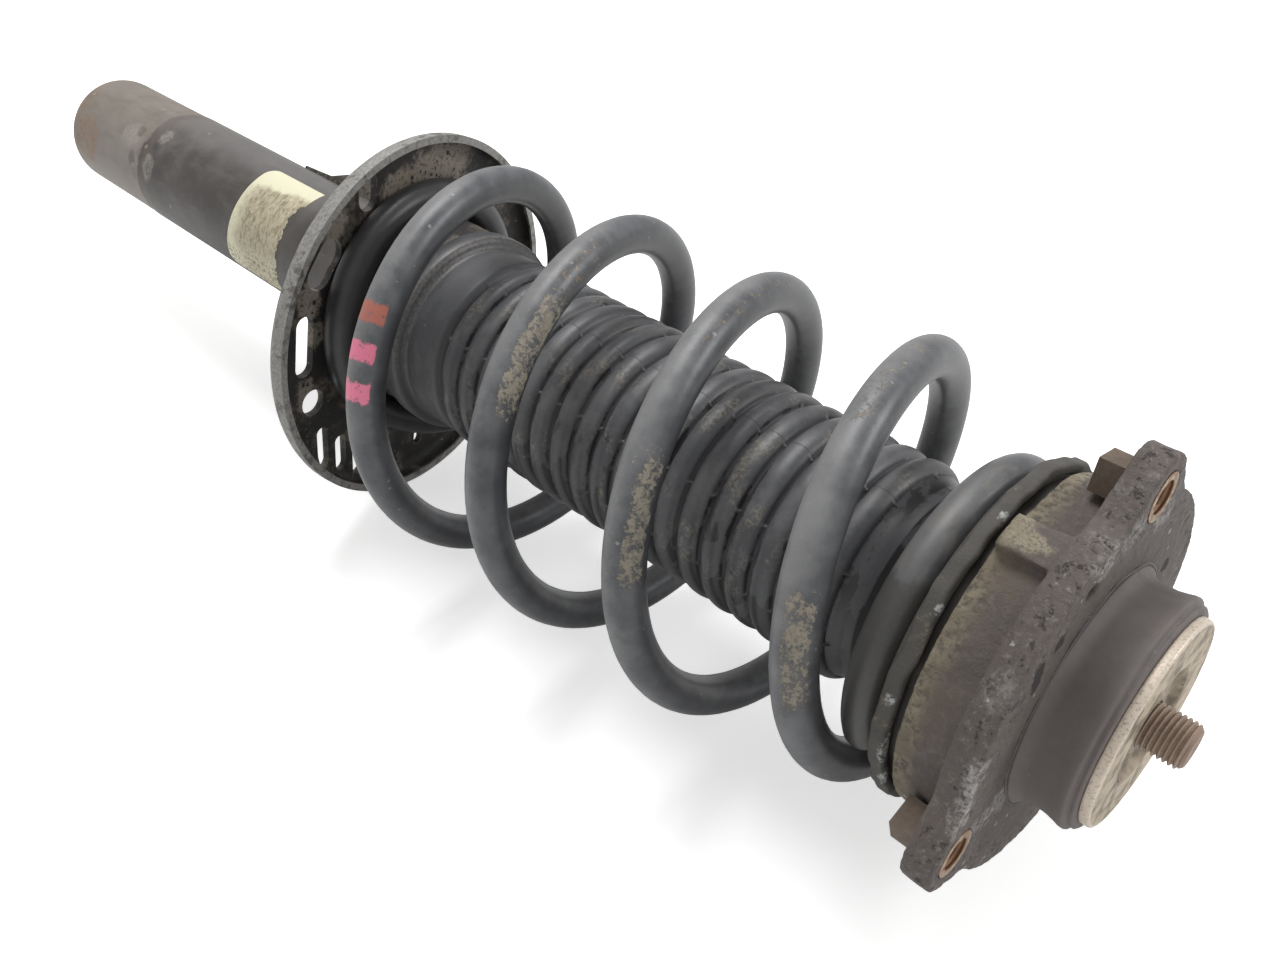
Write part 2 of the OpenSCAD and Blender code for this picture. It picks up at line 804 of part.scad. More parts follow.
module threaded_inserts() {
    tail = 9.8;
    tail_h = 8;
    color("#8a5a3a")
        difference() {
            union() {
                insert_bores(insert_d / 2, flange_x, flange_top);
                around(ear_count, ear_turn)
                    translate([flange_x - tail_h, -tail / 2, insert_ring_r - tail / 2])
                        cube([tail_h + 1, tail, tail]);
            }
            insert_bores(insert_thread_d / 2, flange_x + 1, flange_top + 1);
        }
}

module rod_washer() {
    color("silver")
        ring(flange_top, nut_x, stud_r + fit, nut_cavity_r - 0.5);
}

module rod_nut() {
    color("silver")
        difference() {
            hexagon_along_x(nut_x, nut_top, nut_flats);
            rod_along_x(nut_x - 1, nut_top + 1, stud_r + fit);
        }
}

module stop_plate() {
    r = plate_d / 2;
    dish_r = dish_d / 2;
    color("#a89a86")
        lathe([
            [nut_top, stud_r + fit], [nut_top + stop_plate_t + 1.2, stud_r + fit],
            [nut_top + stop_plate_t + 1.2, stud_r + 2], [nut_top + stop_plate_t, stud_r + 3],
            [nut_top + stop_plate_t, dish_r - 2], [plate_top, dish_r],
            [plate_top, r - 0.6], [plate_top - 0.6, r], [tower_top, r],
            [tower_top, dish_r - 1], [nut_top, dish_r - 3]
        ]);
}

strut_tube();
tube_base();
base_valve();
inner_cylinder();
rod_guide();
rod_seal();
tube_top_cap();
lower_spring_seat();
hose_bracket();
label();
coil_spring();
dust_boot();
upper_spring_seat();
spring_pad();
bearing_lower_race();
bearing_cage();
bearing_balls();
piston();
piston_ring();
piston_nut();
rebound_stop();
piston_rod();
bump_stop();
bearing_upper_race();
mount_housing();
mount_rubber();
mount_sleeve();
threaded_inserts();
rod_washer();
rod_nut();
stop_plate();
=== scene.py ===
"""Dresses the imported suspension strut: finer soft pieces, spring and thread, and every finish.

Lengths in this file are in millimetres unless a name ends in _m. A finish reads x, radius and distances along
an axis in metres, so their limits are in metres too. +X runs up the strut, +Z is up as it lies, and an angle
round the strut is in degrees from +Z towards -Y, as in the part's source.
"""

import math
from functools import reduce

import bpy
import numpy as np
from mathutils import Matrix, Vector


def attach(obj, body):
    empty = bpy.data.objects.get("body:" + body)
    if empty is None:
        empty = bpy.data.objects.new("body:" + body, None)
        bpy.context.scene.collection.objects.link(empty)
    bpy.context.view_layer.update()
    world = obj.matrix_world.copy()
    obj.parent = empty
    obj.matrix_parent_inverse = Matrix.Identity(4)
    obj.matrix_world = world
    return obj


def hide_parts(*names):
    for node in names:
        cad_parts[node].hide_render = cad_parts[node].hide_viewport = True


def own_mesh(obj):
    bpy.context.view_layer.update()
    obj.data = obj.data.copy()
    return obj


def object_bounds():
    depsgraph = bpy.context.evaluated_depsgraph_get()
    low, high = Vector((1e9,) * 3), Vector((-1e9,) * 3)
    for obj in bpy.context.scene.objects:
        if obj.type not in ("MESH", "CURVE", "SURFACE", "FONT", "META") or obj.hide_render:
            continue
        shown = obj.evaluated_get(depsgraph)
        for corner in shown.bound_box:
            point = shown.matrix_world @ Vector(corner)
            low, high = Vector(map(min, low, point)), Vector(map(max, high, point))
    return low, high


MM = 0.001


def set_up(thing, **settings):
    """Gives a Blender item its settings and returns it."""
    for key, value in settings.items():
        setattr(thing, key, value)
    return thing


def into_scene(name, data):
    """A new object in the scene that shows a mesh, a camera or a light."""
    obj = bpy.data.objects.new(name, data)
    bpy.context.scene.collection.objects.link(obj)
    return obj


# ---------------------------------------------------------------- meshes

def mesh_piece(name, shape, body, material):
    """A smooth-shaded mesh from points in millimetres and faces, riding on a body of the strut."""
    points, faces = shape
    mesh = bpy.data.meshes.new(name)
    mesh.from_pydata([(x * MM, y * MM, z * MM) for x, y, z in points], [], faces)
    mesh.validate()
    mesh.shade_smooth()
    mesh.materials.append(material)
    piece = into_scene(name, mesh)
    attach(piece, body)
    return piece


def mark_points(piece, name, values):
    """Gives each point of a piece a number that its finish can read."""
    attribute = piece.data.attributes.new(name, "FLOAT", "POINT")
    attribute.data.foreach_set("value", values)


def around(x, r, angle):
    """The point at radius r and an angle round the strut's axis."""
    a = math.radians(angle)
    return (x, -r * math.sin(a), r * math.cos(a))


def turned(profile, angles, reshape=None):
    """Points and faces of a closed [x, r] profile turned through the angles; reshape may move each point."""
    points = []
    for angle in angles:
        for x, r in profile:
            if reshape:
                x, r = reshape(x, r, angle)
            points.append(around(x, r, angle))
    size = len(profile)
    faces = []
    for i in range(len(angles)):
        j = (i + 1) % len(angles)
        for k in range(size):
            n = (k + 1) % size
            faces.append((i * size + k, i * size + n, j * size + n, j * size + k))
    return points, faces


def even_angles(count):
    return [360 * i / count for i in range(count)]


def offsets(x, r, *steps):
    """[x, r] points given by their steps from one corner of a profile."""
    return [(x + dx, r + dr) for dx, dr in steps]


def fillet(cx, cr, r, start, end, steps=6):
    """[x, r] points of an arc about (cx, cr)."""
    turn = [math.radians(start + (end - start) * i / steps) for i in range(steps + 1)]
    return [(cx + r * math.cos(a), cr + r * math.sin(a)) for a in turn]


def clamp01(value):
    return min(1.0, max(0.0, value))


def smooth(value):
    """A smooth rise from 0 to 1 as the value goes from 0 to 1."""
    c = clamp01(value)
    return c * c * (3 - 2 * c)


def mix(a, b, share):
    return a + (b - a) * share


def wave(angle, *terms):
    """A fixed irregular wobble: each term is (waves per turn, phase in degrees, size)."""
    return sum(size * math.sin(math.radians(count * angle + phase)) for count, phase, size in terms)


# ---------------------------------------------------------------- finishes

class Graph:
    """A node tree. Its methods add nodes and return their outputs; a value is a number or an output."""

    def __init__(self, tree):
        self.tree = tree
        tree.nodes.clear()

    def add(self, kind, inputs=(), **settings):
        """A new node with its settings; inputs maps its sockets' names or places to what they are fed."""
        node = set_up(self.tree.nodes.new(kind), **settings)
        for key, value in dict(inputs).items():
            self.feed(node.inputs[key], value)
        return node

    def feed(self, socket, value):
        """Sets a socket from a number, a vector, a colour or another node's output."""
        if isinstance(value, bpy.types.NodeSocket):
            self.tree.links.new(value, socket)
        elif socket.type == "RGBA":
            socket.default_value = (*value, 1.0)
        else:
            socket.default_value = value

    def math(self, operation, a, b=0.0):
        return self.add("ShaderNodeMath", {0: a, 1: b}, operation=operation).outputs[0]

    def vectors(self, operation, a, b=(0, 0, 0), output="Vector"):
        return self.add("ShaderNodeVectorMath", {0: a, 1: b}, operation=operation).outputs[output]

    def times(self, a, b):
        return self.math("MULTIPLY", a, b)

    def centred(self, value):
        return self.math("SUBTRACT", value, 0.5)

    def plus(self, a, b, share=1.0):
        return self.math("ADD", a, self.times(b, share))

    def total(self, first, *others):
        """The sum of (value, share) pairs."""
        result = self.times(*first)
        for value, share in others:
            result = self.plus(result, value, share)
        return result

    def level(self, mask, under, over):
        """A number that runs from under at mask 0 to over at mask 1."""
        return self.plus(under, mask, over - under)

    def both(self, *masks):
        return reduce(self.times, masks)

    def either(self, *masks):
        return reduce(lambda a, b: self.math("MAXIMUM", a, b), masks)

    def without(self, mask, hole):
        return self.times(mask, self.math("SUBTRACT", 1.0, hole))

    def length(self, a, b):
        return self.math("SQRT", self.math("ADD", self.times(a, a), self.times(b, b)))

    def step(self, value, low, high):
        """A smooth rise from 0 at low to 1 at high; low may be above high."""
        start, end = (0.0, 1.0) if low < high else (1.0, 0.0)
        limits = {"From Min": min(low, high), "From Max": max(low, high), "To Min": start, "To Max": end}
        limits["Value"] = value
        return self.add("ShaderNodeMapRange", limits, interpolation_type="SMOOTHSTEP").outputs["Result"]

    def band(self, value, low, high, soft):
        """1 between low and high, fading over soft on each side."""
        return self.both(self.step(value, low - soft, low + soft), self.step(value, high + soft, high - soft))

    def blend(self, mask, under, over, strength=None):
        """Colour under where the mask is 0 and over where it is 1, at a strength if one is given."""
        share = mask if strength is None else self.times(mask, strength)
        return self.add("ShaderNodeMix", {0: share, 6: under, 7: over}, data_type="RGBA").outputs[2]


class Finish(Graph):
    """One material: its colour is laid coat by coat, and finish closes it."""

    def __init__(self, name, metallic=0.0, specular=0.5, sheen=0.0):
        self.material = bpy.data.materials.new(name)
        self.material.use_nodes = True
        super().__init__(self.material.node_tree)
        self.colour = None
        inputs = {"Metallic": metallic, "Specular IOR Level": specular, "Sheen Weight": sheen}
        self.shader = self.add("ShaderNodeBsdfPrincipled", inputs)
        self.add("ShaderNodeOutputMaterial", {"Surface": self.shader.outputs["BSDF"]})
        self.place = self.add("ShaderNodeTexCoord").outputs["Object"]
        self.x, self.y, self.z = self.add("ShaderNodeSeparateXYZ", {0: self.place}).outputs

    def coat(self, mask, over, strength=None):
        """Lays a colour over the finish where the mask is 1."""
        self.colour = self.blend(mask, self.colour, over, strength)

    def texture(self, kind, size, seed, stretch=(1, 1, 1), **inputs):
        """A texture node with grains of about size millimetres, stretched, and moved by its seed."""
        shift = (seed * 0.137, seed * 0.071, seed * 0.113)
        squeeze = tuple(1 / s for s in stretch)
        moved = self.add("ShaderNodeMapping", {"Vector": self.place, "Location": shift, "Scale": squeeze})
        return self.add(kind, {"Vector": moved.outputs[0], "Scale": 1 / (size * MM), **inputs})

    def noise(self, size, detail=3, rough=0.55, seed=0, stretch=(1, 1, 1)):
        """Noise from 0 to 1."""
        grains = self.texture("ShaderNodeTexNoise", size, seed, stretch, Detail=detail, Roughness=rough)
        return grains.outputs["Fac"]

    def patches(self, low, high, *noise, **stretch):
        """Noise of this size, detail, roughness and seed, stepped from 0 at low to 1 at high."""
        return self.step(self.noise(*noise, **stretch), low, high)

    def specks(self, spacing, size, seed, share=0.35):
        """Small uneven dots, 1 inside: size is a part of the spacing, and share of the cells have one."""
        cells = self.texture("ShaderNodeTexVoronoi", spacing, seed).outputs
        chance = self.add("ShaderNodeSeparateColor", {0: cells["Color"]}).outputs
        grain = spacing * 0.12
        ragged = self.centred(self.noise(grain, seed=seed))
        reach = self.plus(cells["Distance"], ragged, size * 2.0)
        sized = self.math("SUBTRACT", reach, self.times(chance[1], size * 0.7))
        chosen = self.step(chance[0], 1 - share, 1.02 - share)
        return self.both(self.step(sized, size * 0.5, size * 0.2), chosen)

    def away(self, point):
        """The way from a point in millimetres."""
        return self.vectors("SUBTRACT", self.place, Vector(point) * MM)

    def along(self, origin, axis):
        """Distance in metres from a point in millimetres, along an axis."""
        return self.vectors("DOT_PRODUCT", self.away(origin), axis, "Value")

    def attribute(self, name):
        return self.add("ShaderNodeAttribute", attribute_name=name).outputs["Fac"]

    def radius(self):
        """Distance in metres from the strut's axis."""
        return self.length(self.y, self.z)

    def angle(self):
        """The angle round the strut in degrees, from -180 to 180."""
        return self.times(self.math("ARCTAN2", self.times(self.y, -1.0), self.z), 180 / math.pi)

    def spot(self, centre, size, ragged, grain, seed):
        """A patch about a point: size is one radius or three, and ragged breaks up its edge."""
        sizes = size if isinstance(size, tuple) else (size, size, size)
        scaled = self.vectors("DIVIDE", self.away(centre), Vector(sizes) * MM)
        distance = self.vectors("LENGTH", scaled, output="Value")
        wobble = self.centred(self.noise(grain, 6, 0.72, seed))
        inside = self.plus(self.math("SUBTRACT", 1.0, distance), wobble, ragged * 3.0)
        return self.step(inside, 0.05, 0.45)

    def spots(self, places, ragged, grain, first_seed=0):
        """All the patches of a list of (centre, size) or (centre, size, strength)."""
        masks = []
        for i, (centre, size, *strength) in enumerate(places):
            masks.append(self.both(self.spot(centre, size, ragged, grain, first_seed + i), *strength))
        return self.either(*masks)

    def normal(self):
        return self.add("ShaderNodeNewGeometry").outputs["Normal"]

    def facing(self, direction):
        """How far the surface faces a direction: 1 straight at it, 0 at right angles or away."""
        towards = Vector(direction).normalized()
        return self.math("MAXIMUM", self.vectors("DOT_PRODUCT", self.normal(), towards, "Value"), 0.0)

    def edges(self, width, low, high):
        """1 on sharp outer edges, from the bevelled normal's turn against the true one."""
        bevel = self.add("ShaderNodeBevel", {"Radius": width * MM}, samples=4).outputs["Normal"]
        turn = self.vectors("DOT_PRODUCT", bevel, self.normal(), "Value")
        return self.step(self.math("SUBTRACT", 1.0, turn), low, high)

    def finish(self, roughness, height=None, depth=0.1):
        """Closes the finish with its roughness and a bump of depth millimetres, and returns the material."""
        self.feed(self.shader.inputs["Base Color"], self.colour)
        self.feed(self.shader.inputs["Roughness"], roughness)
        if height is not None:
            bump = self.add("ShaderNodeBump", {"Strength": 1.0, "Distance": depth * MM, "Height": height})
            self.feed(self.shader.inputs["Normal"], bump.outputs["Normal"])
        return self.material


def tube_paint():
    """Bare, rust-spotted foot below a satin black tube with road dust."""
    f = Finish("tube_paint", specular=0.45)
    fine = f.noise(0.9, 4, 0.6)
    blotch = f.noise(14, 5, 0.6, 3)
    streak = f.noise(7, 4, 0.6, 5, stretch=(3.5, 1, 1))
    foot_edge = f.plus(f.x, f.centred(f.noise(11, 4, 0.6, 8)), 0.009)
    paint_from = 0.0735
    bare = f.step(foot_edge, paint_from, paint_from - 0.003)
    band = f.both(f.band(foot_edge, paint_from, 0.08, 0.002), f.patches(0.3, 0.55, 6, 5, 0.65, 21))

    black = f.blend(f.step(blotch, 0.35, 0.7), (0.06, 0.053, 0.049), (0.09, 0.08, 0.074))
    black = f.blend(f.step(streak, 0.5, 0.75), black, (0.15, 0.136, 0.122), 0.4)
    # Painted highlight: the black paint turns lighter grey on faces turned up towards the lamp.
    top = f.facing((-0.1, 0.35, 1))
    black = f.blend(f.step(f.plus(top, blotch, 0.25), 0.75, 1.1), black, (0.17, 0.165, 0.16), 0.5)
    # Lighter paint near the foot: dust, with a painted highlight where it faces up.
    near_foot = f.both(f.step(foot_edge, 0.13, 0.08), f.step(f.plus(blotch, top, 0.3), 0.55, 0.85))
    black = f.blend(near_foot, black, (0.15, 0.135, 0.122), 0.6)
    black = f.blend(f.step(fine, 0.62, 0.8), black, (0.15, 0.138, 0.125), 0.35)
    steel = f.blend(blotch, (0.16, 0.136, 0.115), (0.255, 0.228, 0.2))
    steel = f.blend(f.step(streak, 0.45, 0.7), steel, (0.125, 0.102, 0.086), 0.4)
    # Painted reflection of the white floor: the bare steel is lighter on faces turned down and to the front.
    steel = f.blend(f.facing((0, -0.8, -0.4)), steel, (0.34, 0.31, 0.285), 0.5)
    rust_area = f.either(f.spot((14, -26, 10), (17, 10, 17), 0.55, 6, 1),
                         f.times(f.spot((0, -18, 20), (9, 20, 14), 0.5, 5, 2), 0.7),
                         f.times(f.step(f.x, 0.003, -0.003), 0.45))
    rust = f.both(rust_area, f.patches(0.34, 0.66, 3.5, 6, 0.75, 2))
    steel = f.blend(rust, steel, f.blend(f.noise(1.6, 4), (0.15, 0.088, 0.05), (0.37, 0.235, 0.135)), 0.95)
    brown = f.both(f.patches(0.55, 0.72, 10, 5, 0.65, 31, stretch=(0.6, 1, 1)), f.step(f.x, 0.05, 0.064))
    steel = f.blend(brown, steel, (0.105, 0.078, 0.06), 0.7)
    f.colour = f.blend(bare, black, steel)
    f.coat(band, f.blend(streak, (0.085, 0.066, 0.054), (0.15, 0.122, 0.1)), 0.7)

    scuffs = f.either(f.spot((57, -18.8, 20.1), (11, 8, 9), 0.42, 4, 1),
                      f.spot((84, -13.0, 24.3), (6, 6, 5), 0.42, 3, 4),
                      f.spot((81, -24.9, 12.0), (6.5, 5, 11), 0.35, 4, 6))
    scuffs = f.both(scuffs, f.patches(0.3, 0.6, 2.4, 6, 0.75, 19))
    f.coat(scuffs, f.blend(fine, (0.24, 0.22, 0.2), (0.46, 0.43, 0.39)), 0.55)
    stains = f.either(f.spot((63, -16, 22.4), (4, 4, 4), 0.4, 3, 11),
                      f.spot((64, -25, 11.5), (4, 5, 5), 0.4, 3, 12))
    f.coat(stains, (0.085, 0.068, 0.056), 0.5)
    chips = f.both(f.specks(9, 0.16, 2), f.patches(0.45, 0.6, 20, 2, 0.55, 9))
    f.coat(chips, (0.34, 0.3, 0.26), 0.6)
    roughness = f.plus(f.level(bare, 0.4, 0.55), fine, 0.14)
    height = f.total((fine, 0.5), (blotch, 0.6), (rust, 0.5))
    return f.finish(roughness, height, 0.1)


def seat_paint():
    """Black paint, dusty in the dish and worn to grey steel on the rim."""
    f = Finish("seat_paint", specular=0.45)
    fine = f.noise(1.1, 5, 0.65)
    blotch = f.noise(11, 5, 0.62, 2)
    patch = f.noise(24, 4, 0.6, 12)
    lift = f.along(Seat.centre, Seat.square)
    across = f.length(f.along(Seat.centre, Seat.downhill), f.along(Seat.centre, Seat.level))
    uneven = f.centred(blotch)
    lip = f.step(f.plus(lift, uneven, 0.002), -0.0016, -0.0004)
    outer_wall = f.both(f.step(across, 0.0752, 0.0762),
                        f.step(f.plus(lift, uneven, 0.004), -0.0085, -0.006))
    worn = f.either(f.both(lip, f.step(across, 0.0735, 0.0745)), outer_wall)

    f.colour = f.blend(blotch, (0.014, 0.0125, 0.012), (0.03, 0.027, 0.025))
    dust = f.both(f.step(f.plus(patch, blotch, 0.35), 0.66, 0.78), f.patches(0.38, 0.56, 2.6, 6, 0.75, 25))
    f.coat(dust, f.blend(fine, (0.085, 0.072, 0.058), (0.19, 0.165, 0.132)), 0.8)
    brown = f.spots(SEAT_DUST, 0.55, 6, 3)
    brown = f.without(brown, f.specks(3.0, 0.36, 6, 0.75))
    brown = f.both(brown, f.patches(0.3, 0.5, 1.6, 5, 0.7, 5))
    f.coat(brown, f.blend(fine, (0.165, 0.14, 0.112), (0.33, 0.29, 0.235)), 0.9)
    f.coat(f.specks(2.6, 0.2, 4), (0.22, 0.21, 0.195), 0.5)
    grey = f.blend(f.step(fine, 0.3, 0.75), (0.2, 0.192, 0.18), (0.34, 0.331, 0.315))
    chipped = f.step(f.plus(f.noise(4.5, 6, 0.72, 15), patch, 0.35), 0.7, 0.8)
    f.coat(f.both(worn, f.step(f.plus(blotch, fine, 0.3), 0.36, 0.56)), grey)
    f.coat(f.both(worn, chipped), (0.06, 0.054, 0.05), 0.65)
    edge = f.edges(0.7, 0.015, 0.1)
    f.coat(f.both(edge, f.step(blotch, 0.35, 0.6)), (0.3, 0.285, 0.26), 0.7)
    roughness = f.plus(f.level(worn, 0.55, 0.42), fine, 0.25)
    height = f.total((fine, 0.6), (blotch, 0.8), (brown, 0.4))
    return f.finish(roughness, height, 0.22)


def spring_paint():
    """Satin blue-grey coating, dusty with a painted highlight on faces turned to the lamp and painted shade
    on faces turned down, with tan dirt and bare colour marks on the first coil.
    """
    f = Finish("spring_paint", specular=0.5)
    turn = f.attribute("turn")
    fine = f.noise(0.8, 4, 0.6)
    blotch = f.noise(9, 5, 0.6, 1)
    cloud = f.noise(26, 4, 0.6, 7)
    f.colour = f.blend(f.step(blotch, 0.3, 0.7), (0.07, 0.073, 0.08), (0.118, 0.121, 0.128))
    # A cloudy dust coat, lighter on faces turned to the lamp: dust with a painted highlight.
    lit = f.facing((-0.55, -0.45, 0.75))
    dust_and_highlight = f.step(f.total((cloud, 0.7), (blotch, 0.25), (lit, 0.42)), 0.52, 0.98)
    f.coat(dust_and_highlight, (0.235, 0.235, 0.235), 0.75)
    scuff = f.patches(0.53, 0.7, 1.6, 6, 0.8, 21)
    # Light grey patches only on the faces turned to the lamp: painted highlight.
    f.coat(f.both(scuff, lit), (0.31, 0.31, 0.305), 0.4)
    f.coat(f.specks(5.0, 0.12, 3, 0.3), (0.36, 0.36, 0.35), 0.55)
    shaded = f.step(f.facing((0.45, 0.45, -0.75)), 0.0, 0.75)
    f.coat(shaded, (0.03, 0.03, 0.031), 0.75)
    # Painted shade: the coil turns near black where it lies in the seat's dish.
    seated = f.step(turn, 0.78, 0.55)
    f.coat(seated, (0.02, 0.019, 0.019), 0.8)
    worn_end = f.step(f.plus(turn, f.centred(blotch), 0.05), 5.13, 5.142)
    f.coat(worn_end, f.blend(fine, (0.04, 0.038, 0.035), (0.085, 0.081, 0.074)), 0.85)
    last_coil = f.step(turn, 4.55, 4.75)
    streaked = f.both(last_coil, f.patches(0.45, 0.62, 5, 5, 0.7, 13, stretch=(0.6, 2, 2)))
    streaked = f.without(streaked, worn_end)
    last = f.both(last_coil, f.step(turn, 5.3, 5.2))
    f.coat(f.without(last, worn_end), (0.06, 0.06, 0.062), 0.45)
    f.coat(streaked, (0.175, 0.16, 0.138), 0.45)

    out, up = f.attribute("out"), f.attribute("up")
    wander = f.centred(f.noise(5, 5, 0.7, 33))

    def strip(low, high, side, width, strength):
        """A ragged strip along the wire, from turn low to high, on the side that faces a direction."""
        across, rise = Coil.section((low + high) / 2)
        side = Vector(side).normalized()
        lean = f.total((out, side.dot(across)), (up, side.dot(rise)), (wander, 0.6))
        place = f.plus(turn, wander, 0.03)
        return f.both(f.band(place, low, high, 0.012), f.step(lean, 1 - width, 1 - 0.4 * width), strength)

    areas = f.either(*[strip(*entry) for entry in SPRING_DIRT])
    grit = f.total((f.noise(1.2, 6, 0.8, 4), 0.55), (f.noise(4, 6, 0.75, 14), 0.45))
    dirt = f.both(f.step(areas, 0.02, 0.35), f.step(f.plus(grit, areas, 0.16), 0.605, 0.675))
    f.coat(dirt, f.blend(fine, (0.2, 0.178, 0.14), (0.4, 0.355, 0.285)), 0.9)
    rust = f.both(f.either(*[strip(*entry) for entry in SPRING_RUST]),
                  f.patches(0.55, 0.63, 1.9, 5, 0.7, 41))
    f.coat(rust, (0.34, 0.22, 0.1), 0.8)
    for low, high, shade, strength in COLOUR_MARKS:
        ragged = f.plus(turn, f.centred(f.noise(2.2, 3, 0.55, low * 10)), 0.01)
        mark = f.both(f.band(ragged, low, high, 0.0012), f.step(f.plus(out, wander, 0.25), 0.4, 0.47),
                      f.patches(0.33, 0.43, 1.4, 4, 0.7, 3))
        f.coat(mark, shade, strength)
    roughness = f.plus(f.plus(f.level(dirt, 0.28, 0.85), fine, 0.16), dust_and_highlight, 0.14)
    height = f.total((fine, 0.35), (blotch, 0.25), (dirt, 0.8))
    return f.finish(roughness, height, 0.1)


def boot_rubber():
    """Black moulded rubber, dusty on the crests with a painted highlight on the upward ones, and dark in
    ragged patches below that are partly painted shade.
    """
    f = Finish("boot_rubber", specular=0.6, sheen=0.03)
    fine = f.noise(0.7, 4, 0.6)
    grit = f.noise(1.3, 6, 0.75, 4)
    patchy = f.noise(15, 5, 0.6, 2, stretch=(0.45, 1, 1))
    crest = f.attribute("crest")
    upper = f.facing((0.25, -0.35, 1))
    cup = f.step(f.x, (Boot.ribs_x + 4) * MM, (Boot.ribs_x - 4) * MM)
    dusty = f.blend(grit, (0.042, 0.043, 0.047), (0.086, 0.087, 0.092))
    dark = f.blend(fine, (0.013, 0.013, 0.015), (0.024, 0.024, 0.026))
    # Dusty on faces turned up and on the crests, dark elsewhere in ragged patches; the dark on the lower
    # faces is partly painted shade.
    cover = f.total((upper, 0.45), (crest, 0.22), (patchy, 1.3))
    cover = f.either(f.step(cover, 0.98, 1.02), f.times(cup, 0.75))
    f.colour = f.blend(cover, dark, dusty)
    # Painted highlight: light grey patches on the crests that face up.
    dust_and_highlight = f.both(f.patches(0.4, 0.64, 17, 4, 0.6, 5), f.step(crest, 0.5, 1.0), f.step(upper, 0.3, 0.9))
    f.coat(dust_and_highlight, (0.172, 0.172, 0.176), 0.5)
    tan = f.both(f.step(crest, 0.45, 0.9), f.patches(0.52, 0.66, 19, 5, 0.65, 9, stretch=(0.5, 1, 1)),
                 f.step(grit, 0.42, 0.62), f.step(upper, 0.1, 0.45))
    f.coat(tan, (0.26, 0.225, 0.17), 0.75)
    seam_dust = f.both(f.band(f.x, 0.3015, 0.306, 0.0012), f.step(grit, 0.38, 0.6), f.step(upper, 0.2, 0.7))
    f.coat(seam_dust, f.blend(fine, (0.15, 0.125, 0.1), (0.3, 0.275, 0.24)), 0.35)
    line = f.both(f.band(f.angle(), 12.35, 12.65, 0.1), crest)
    f.coat(line, (0.012, 0.012, 0.012), 0.8)
    f.coat(f.specks(6, 0.11, 8), (0.2, 0.19, 0.175), 0.5)
    roughness = f.plus(f.level(cover, 0.32, 0.4), fine, 0.14)
    height = f.total((fine, 0.3), (patchy, 0.35), (line, -1.0))
    return f.finish(roughness, height, 0.08)


def pad_rubber():
    """Dark rubber lip with silvery worn patches and tan dirt."""
    f = Finish("pad_rubber", specular=0.4)
    fine = f.noise(0.9, 5, 0.65)
    blotch = f.noise(7, 5, 0.65, 3)
    f.colour = f.blend(blotch, (0.05, 0.046, 0.042), (0.105, 0.098, 0.088))
    lip = f.step(f.radius(), 0.0505, 0.053)
    tan = f.both(lip, f.patches(0.56, 0.7, 9, 5, 0.7, 6), f.step(fine, 0.35, 0.6))
    f.coat(tan, f.blend(fine, (0.17, 0.145, 0.11), (0.33, 0.285, 0.215)), 0.75)
    silver_areas = f.spots(PAD_SILVER, 0.5, 2.5)
    silver = f.both(silver_areas, f.patches(0.42, 0.56, 1.5, 5, 0.7, 8))
    f.coat(silver, (0.4, 0.41, 0.4), 0.85)
    roughness = f.plus(f.level(silver, 0.62, 0.42), fine, 0.15)
    height = f.total((fine, 0.6), (blotch, 1.0), (tan, 0.5))
    return f.finish(roughness, height, 0.35)


